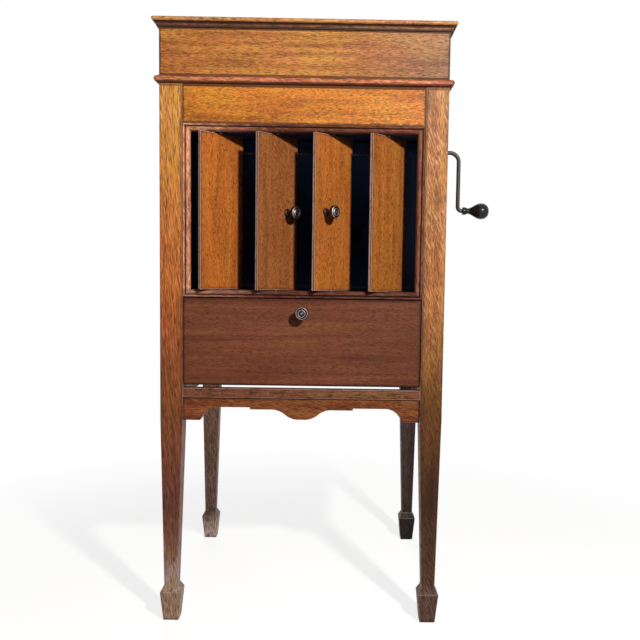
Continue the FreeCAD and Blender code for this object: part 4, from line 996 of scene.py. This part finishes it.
# %% [markdown]
# ## Turned pieces
# Knobs and the crank's handle come off a lathe, so they are drawn as half an outline and spun.
# The CAD outline is right in size but coarse; here it gets the rings, the hollow and the small
# button that catch the light on the real knobs. Some of those rings get a painted highlight.


# %% Lathe
def turned(name, outline, place, axis, finish, steps=56):
    """Spin an outline of (radius, length) in mm about an axis through a place in metres. A third
    number says how strong a ring's painted highlight is."""
    work = bmesh.new()
    # each ring's value in this layer is its painted highlight, read by the metal's shader
    wear_and_glint = work.verts.layers.float.new("wear_and_glint")
    spots = []
    for radius, length, *wear in outline:
        spots.append(work.verts.new((radius * MM, 0, length * MM)))
        spots[-1][wear_and_glint] = wear[0] if wear else 0.0
    edges = [work.edges.new(pair) for pair in zip(spots, spots[1:])]
    bmesh.ops.spin(work, geom=spots + edges, cent=(0, 0, 0), axis=(0, 0, 1), angle=math.tau, steps=steps)
    bmesh.ops.remove_doubles(work, verts=work.verts, dist=1e-6)
    bmesh.ops.recalc_face_normals(work, faces=work.faces)
    lie = Vector(axis).to_track_quat("Z", "Y").to_matrix().to_4x4()
    work.transform(Matrix.Translation(place) @ lie)
    return smooth(finished(name, work, finish), 30)


def curve_through(points, steps=3):
    """A smooth outline through a few points, in short straight steps."""
    padded = [points[0], *points, points[-1]]
    made = []
    for a, b, c, d in zip(padded, padded[1:], padded[2:], padded[3:]):
        for i in range(steps):
            t = i / steps
            made.append(tuple(0.5 * (2 * q + (r - p) * t + (2 * p - 5 * q + 4 * r - s) * t * t
                                     + (3 * q - p - 3 * r + s) * t ** 3)
                              for p, q, r, s in zip(a, b, c, d)))
    return made + [points[-1]]


# %% Knobs
NECK = curve_through([(6.9, 1.9), (4.9, 2.9), (4.1, 5.5), (4.0, 9), (4.9, 12), (7.2, 14.4), (9.8, 16.2),
                      (11.2, 18.3), (11.6, 20.6), (11.1, 22.6), (9.9, 24.0)])
# a third number on a ring is its painted highlight
KNOB = [(0, 0), (7.15, 0), (7.15, 1.4), *NECK, (10.4, 23.6, 0.5), (10.0, 24.0, 0.9), (9.6, 24.2, 0.5),
        (9.2, 24.1), (8.8, 23.5), (8.2, 23.4), (7.8, 23.8), (7.5, 24.1), (7.0, 24.1), (6.6, 23.7, 0.2),
        (6.2, 23.6, 0.8), (5.6, 24.0, 0.6), (5.0, 24.7), (4.3, 25.1), (3.6, 25.4), (1.8, 25.8),
        (1.2, 25.9, 0.4), (0, 26, 0.7)]
SLAT_FRONT = -3 * MM
LOUVRE_KNOBS = (("louvre_knob_left", "louvre_2_turn", 23.2 * MM),
                ("louvre_knob_right", "louvre_3_turn", -20.4 * MM))
FLAP_KNOB_FOOT = Vector((0, -238.5, 556)) * MM
FORWARD = Vector((0, -1, 0))
swing = Matrix.Rotation(OPEN, 3, "Z")
for node_name, joint, along in LOUVRE_KNOBS:
    foot = swing @ Vector((along, SLAT_FRONT, 0)) + Vector(turns[joint]["pos_m"])
    stands_for(turned(node_name + ".turned", KNOB, foot, swing @ FORWARD, METALS["bronze"]), node_name)
flap_knob = turned("flap_knob.turned", KNOB, FLAP_KNOB_FOOT, FORWARD, METALS["bronze"])
stands_for(flap_knob, "flap_knob")
print("knob:", len(flap_knob.data.polygons), "faces")

# %% [markdown]
# ## Crank
# The crank is a round iron bar bent twice, with a black turned handle that runs free on its
# end. The bar is a circle swept along a path whose corners are rounded, which is just what a
# geometry tree does well: the path is three straight runs, and the tree rounds each corner to
# the radius that the smith would have bent it to.


# %% Bent rod
def rod_tree():
    size, give = grower("bent_rod", ("Bar Radius", LENGTH, 0.004), ("First Bend", LENGTH, 0.018),
                        ("Second Bend", LENGTH, 0.0085))
    path = box("GeometryNodeMeshToCurve", Mesh=size["Geometry"])
    later = maths("GREATER_THAN", box("GeometryNodeInputIndex").outputs[0], 1.5)
    bend = plus(times(later, size["Second Bend"]), times(minus(1.0, later), size["First Bend"]))
    rounded = box("GeometryNodeFilletCurve", {"mode": "POLY"}, Curve=path, Radius=bend, Count=10)
    section = box("GeometryNodeCurvePrimitiveCircle", Resolution=24, Radius=size["Bar Radius"])
    bar = box("GeometryNodeCurveToMesh", Curve=rounded, Profile_Curve=section, Fill_Caps=True)
    return realized(give, bar, size["Finish"])


ARM_FROM_MIDDLE = 296 * MM
inner_end, outer_end = (corner.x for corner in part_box("crank_rod"))
_, shaft_y, shaft_z = turns["crank_turn"]["pos_m"]
handle_z = turns["handle_spin"]["pos_m"][2]
path = [(inner_end, shaft_y, shaft_z), (ARM_FROM_MIDDLE, shaft_y, shaft_z),
        (ARM_FROM_MIDDLE, shaft_y, handle_z), (outer_end, shaft_y, handle_z)]
runs = bpy.data.meshes.new("crank_path")
runs.from_pydata(path, [(0, 1), (1, 2), (2, 3)], [])
crank = grown("crank_rod.bar", rod_tree(), runs, Finish=METALS["black_iron"])
stands_for(smooth(crank), "crank_rod")
print("crank bar:", len(crank.data.polygons), "faces")


# %% Turned handle
def black_lacquer():
    """Black-stained wood with a thin worn lacquer."""
    made, shader = material("black_handle")
    spot = spot_on()
    streak = noise(stretched(spot, 40, 420, 420), detail=3)
    rub = between(noise(spot, 70, 3), 0.58, 0.75)
    ink = mixed(streak, (0.006, 0.006, 0.007, 1), (0.012, 0.011, 0.012, 1))
    ink = mixed(rub, ink, (0.022, 0.019, 0.018, 1))
    dress(shader, ink, plus(times(rub, 0.25), 0.24), streak, strength=0.15, depth=0.3 * MM)
    shader.inputs["Specular IOR Level"].default_value = 0.25
    return made


BULB = curve_through([(5.5, 11.6), (6.1, 15.5), (8.2, 19.5), (11, 24.3), (13.7, 29.2), (15.3, 34),
                      (15.7, 38.4), (15.1, 42.7), (13.2, 46.9), (10.3, 50.2), (6.6, 52.2), (3, 52.8)])
HANDLE = [(4.2, 0), (7.0, 0), (7.4, 0.7), (7.5, 4.6), (7.2, 5.2), (7.5, 5.8), (7.3, 7.2), (6.4, 8.6),
          (5.7, 10.2), *BULB, (0, 52.9), (0, 47.4), (4.2, 47.4), (4.2, 0)]
collar = Vector((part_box("crank_handle")[0].x, shaft_y, handle_z))
handle = turned("crank_handle.turned", HANDLE, collar, (1, 0, 0), black_lacquer())
stands_for(handle, "crank_handle")
print("handle:", len(handle.data.polygons), "faces")

# %% [markdown]
# ## Screws
# Slotted wood screws hold the hinges, the crank's plate, the tonearm's base and the motor
# board. One head is made in a tree, its slot cut by a block, and set on a list of places; each
# head is turned to its own angle by a random value with a fixed seed.


# %% Slotted screws
def screw_tree():
    size, give = grower("slotted_screws", ("Head Radius", LENGTH, 0.004), ("Slot Width", LENGTH, 0.0009),
                        ("Seed", "NodeSocketInt", 7))
    cone = box("GeometryNodeMeshCone", Vertices=24, Radius_Top=size["Head Radius"],
               Radius_Bottom=1.8 * MM, Depth=2.4 * MM)
    slot = block(vector(10 * MM, size["Slot Width"], 1.6 * MM), (0, 0, 0))
    head = cut(moved(cone, Translation=(0, 0, -2.3 * MM)), slot)
    facing = box("GeometryNodeInputNamedAttribute", {"data_type": "FLOAT_VECTOR"}, Name="facing")
    upright = box("FunctionNodeAlignRotationToVector", {"axis": "Z"}, Vector=facing)
    angle = box("FunctionNodeRandomValue", {"data_type": "FLOAT"}, Seed=size["Seed"])
    angle.inputs[2].default_value, angle.inputs[3].default_value = 0.0, 3.1
    twist = box("FunctionNodeAxisAngleToRotation", Axis=(0, 0, 1), Angle=angle.outputs[1])
    spun = box("FunctionNodeRotateRotation", {"rotation_space": "LOCAL"}, Rotation=upright, Rotate_By=twist)
    heads = box("GeometryNodeInstanceOnPoints", Points=size["Geometry"], Instance=head, Rotation=spun)
    return realized(give, heads, size["Finish"])


def screw_places(name, rows):
    """Loose points in mm, each with the way its screw head faces."""
    mesh = bpy.data.meshes.new(name)
    mesh.from_pydata([Vector(place) * MM for place, _ in rows], [], [])
    mesh.attributes.new("facing", "FLOAT_VECTOR", "POINT").data.foreach_set(
        "vector", [number for _, facing in rows for number in facing])
    return mesh


# %% Screw places
UP, RIGHT_SIDE, REAR = (0, 0, 1), (1, 0, 0), (0, 1, 0)
HINGE_X, HINGE_STEP, LEAF_Y, CASE_LEAF_Z, LID_LEAF_Z = 150, 20, 241.6, 929.8, 959.8
BOARD_X, BOARD_Y, BOARD_TOP = 224, 150, 925
PLATE_X, PLATE_STEP = 240.6, 13
BASE_RING, BASE_TOP = 27.5, 929
arm_x, arm_y, _ = Vector(turns["tonearm_swing"]["pos_m"]) / MM
hinge_x = [side * HINGE_X + step for side in (-1, 1) for step in (-HINGE_STEP, 0, HINGE_STEP)]
case_rows = [((x, LEAF_Y, CASE_LEAF_Z), REAR) for x in hinge_x]
case_rows += [((side * BOARD_X, y, BOARD_TOP), UP) for side in (-1, 1) for y in (-BOARD_Y, BOARD_Y)]
for step in (-PLATE_STEP, PLATE_STEP):
    case_rows.append(((PLATE_X, shaft_y / MM + step, shaft_z / MM), RIGHT_SIDE))
for degrees in (30, 150, 270):
    out = BASE_RING * Vector((math.cos(math.radians(degrees)), math.sin(math.radians(degrees))))
    case_rows.append(((arm_x + out.x, arm_y + out.y, BASE_TOP), UP))
lid_rows = [((x, LEAF_Y, LID_LEAF_Z), REAR) for x in hinge_x]
SCREW = screw_tree()
for node_name, rows in (("case_screws", case_rows), ("lid_screws", lid_rows)):
    spots = screw_places(node_name + "_spots", rows)
    heads = grown(node_name + ".heads", SCREW, spots, Finish=METALS["brass"])
    stands_for(heads, node_name)
    print(node_name, len(rows), "screws,", len(heads.data.polygons), "faces")

# %% [markdown]
# ## Felt
# The record lies on a disc of baize glued to the turntable. Baize is soft: its rim rolls over,
# its surface is matt, mottled and a little fuzzy, and light that grazes it catches the nap.


# %% Baize
def baize():
    made, shader = material("turntable_baize")
    spot = spot_on()
    nap = noise(spot, 1500, 3, 0.7)
    worn = between(noise(spot, 22, 4, 0.6), 0.42, 0.7)
    weave = mixed(nap, (0.018, 0.06, 0.03, 1), (0.06, 0.14, 0.07, 1))
    weave = mixed(times(worn, 0.5), weave, (0.1, 0.13, 0.07, 1))
    dress(shader, weave, 0.95, nap, strength=0.5, depth=0.5 * MM)
    shader.inputs["Sheen Weight"].default_value = 0.08
    shader.inputs["Specular IOR Level"].default_value = 0.1
    return made


EDGE, ROUND = 146.9, 0.75
rim = [math.radians(angle) for angle in range(-90, 91, 18)]
rim = [(EDGE - ROUND + ROUND * math.cos(angle), 1 + math.sin(angle)) for angle in rim]
FELT = [(5, 0), *rim, (110, 1.9), (60, 2.0), (5.4, 1.9), (5, 1.5), (5, 0)]
felt = turned("turntable_felt.baize", FELT, turns["turntable_spin"]["pos_m"], (0, 0, 1), baize(), 96)
stands_for(felt, "turntable_felt")
print("felt:", len(felt.data.polygons), "faces")

# %% [markdown]
# ## Finish
# The view transform is Standard, so that the colours show as they are written.

# %% Finish
bpy.context.scene.view_settings.view_transform = "Standard"
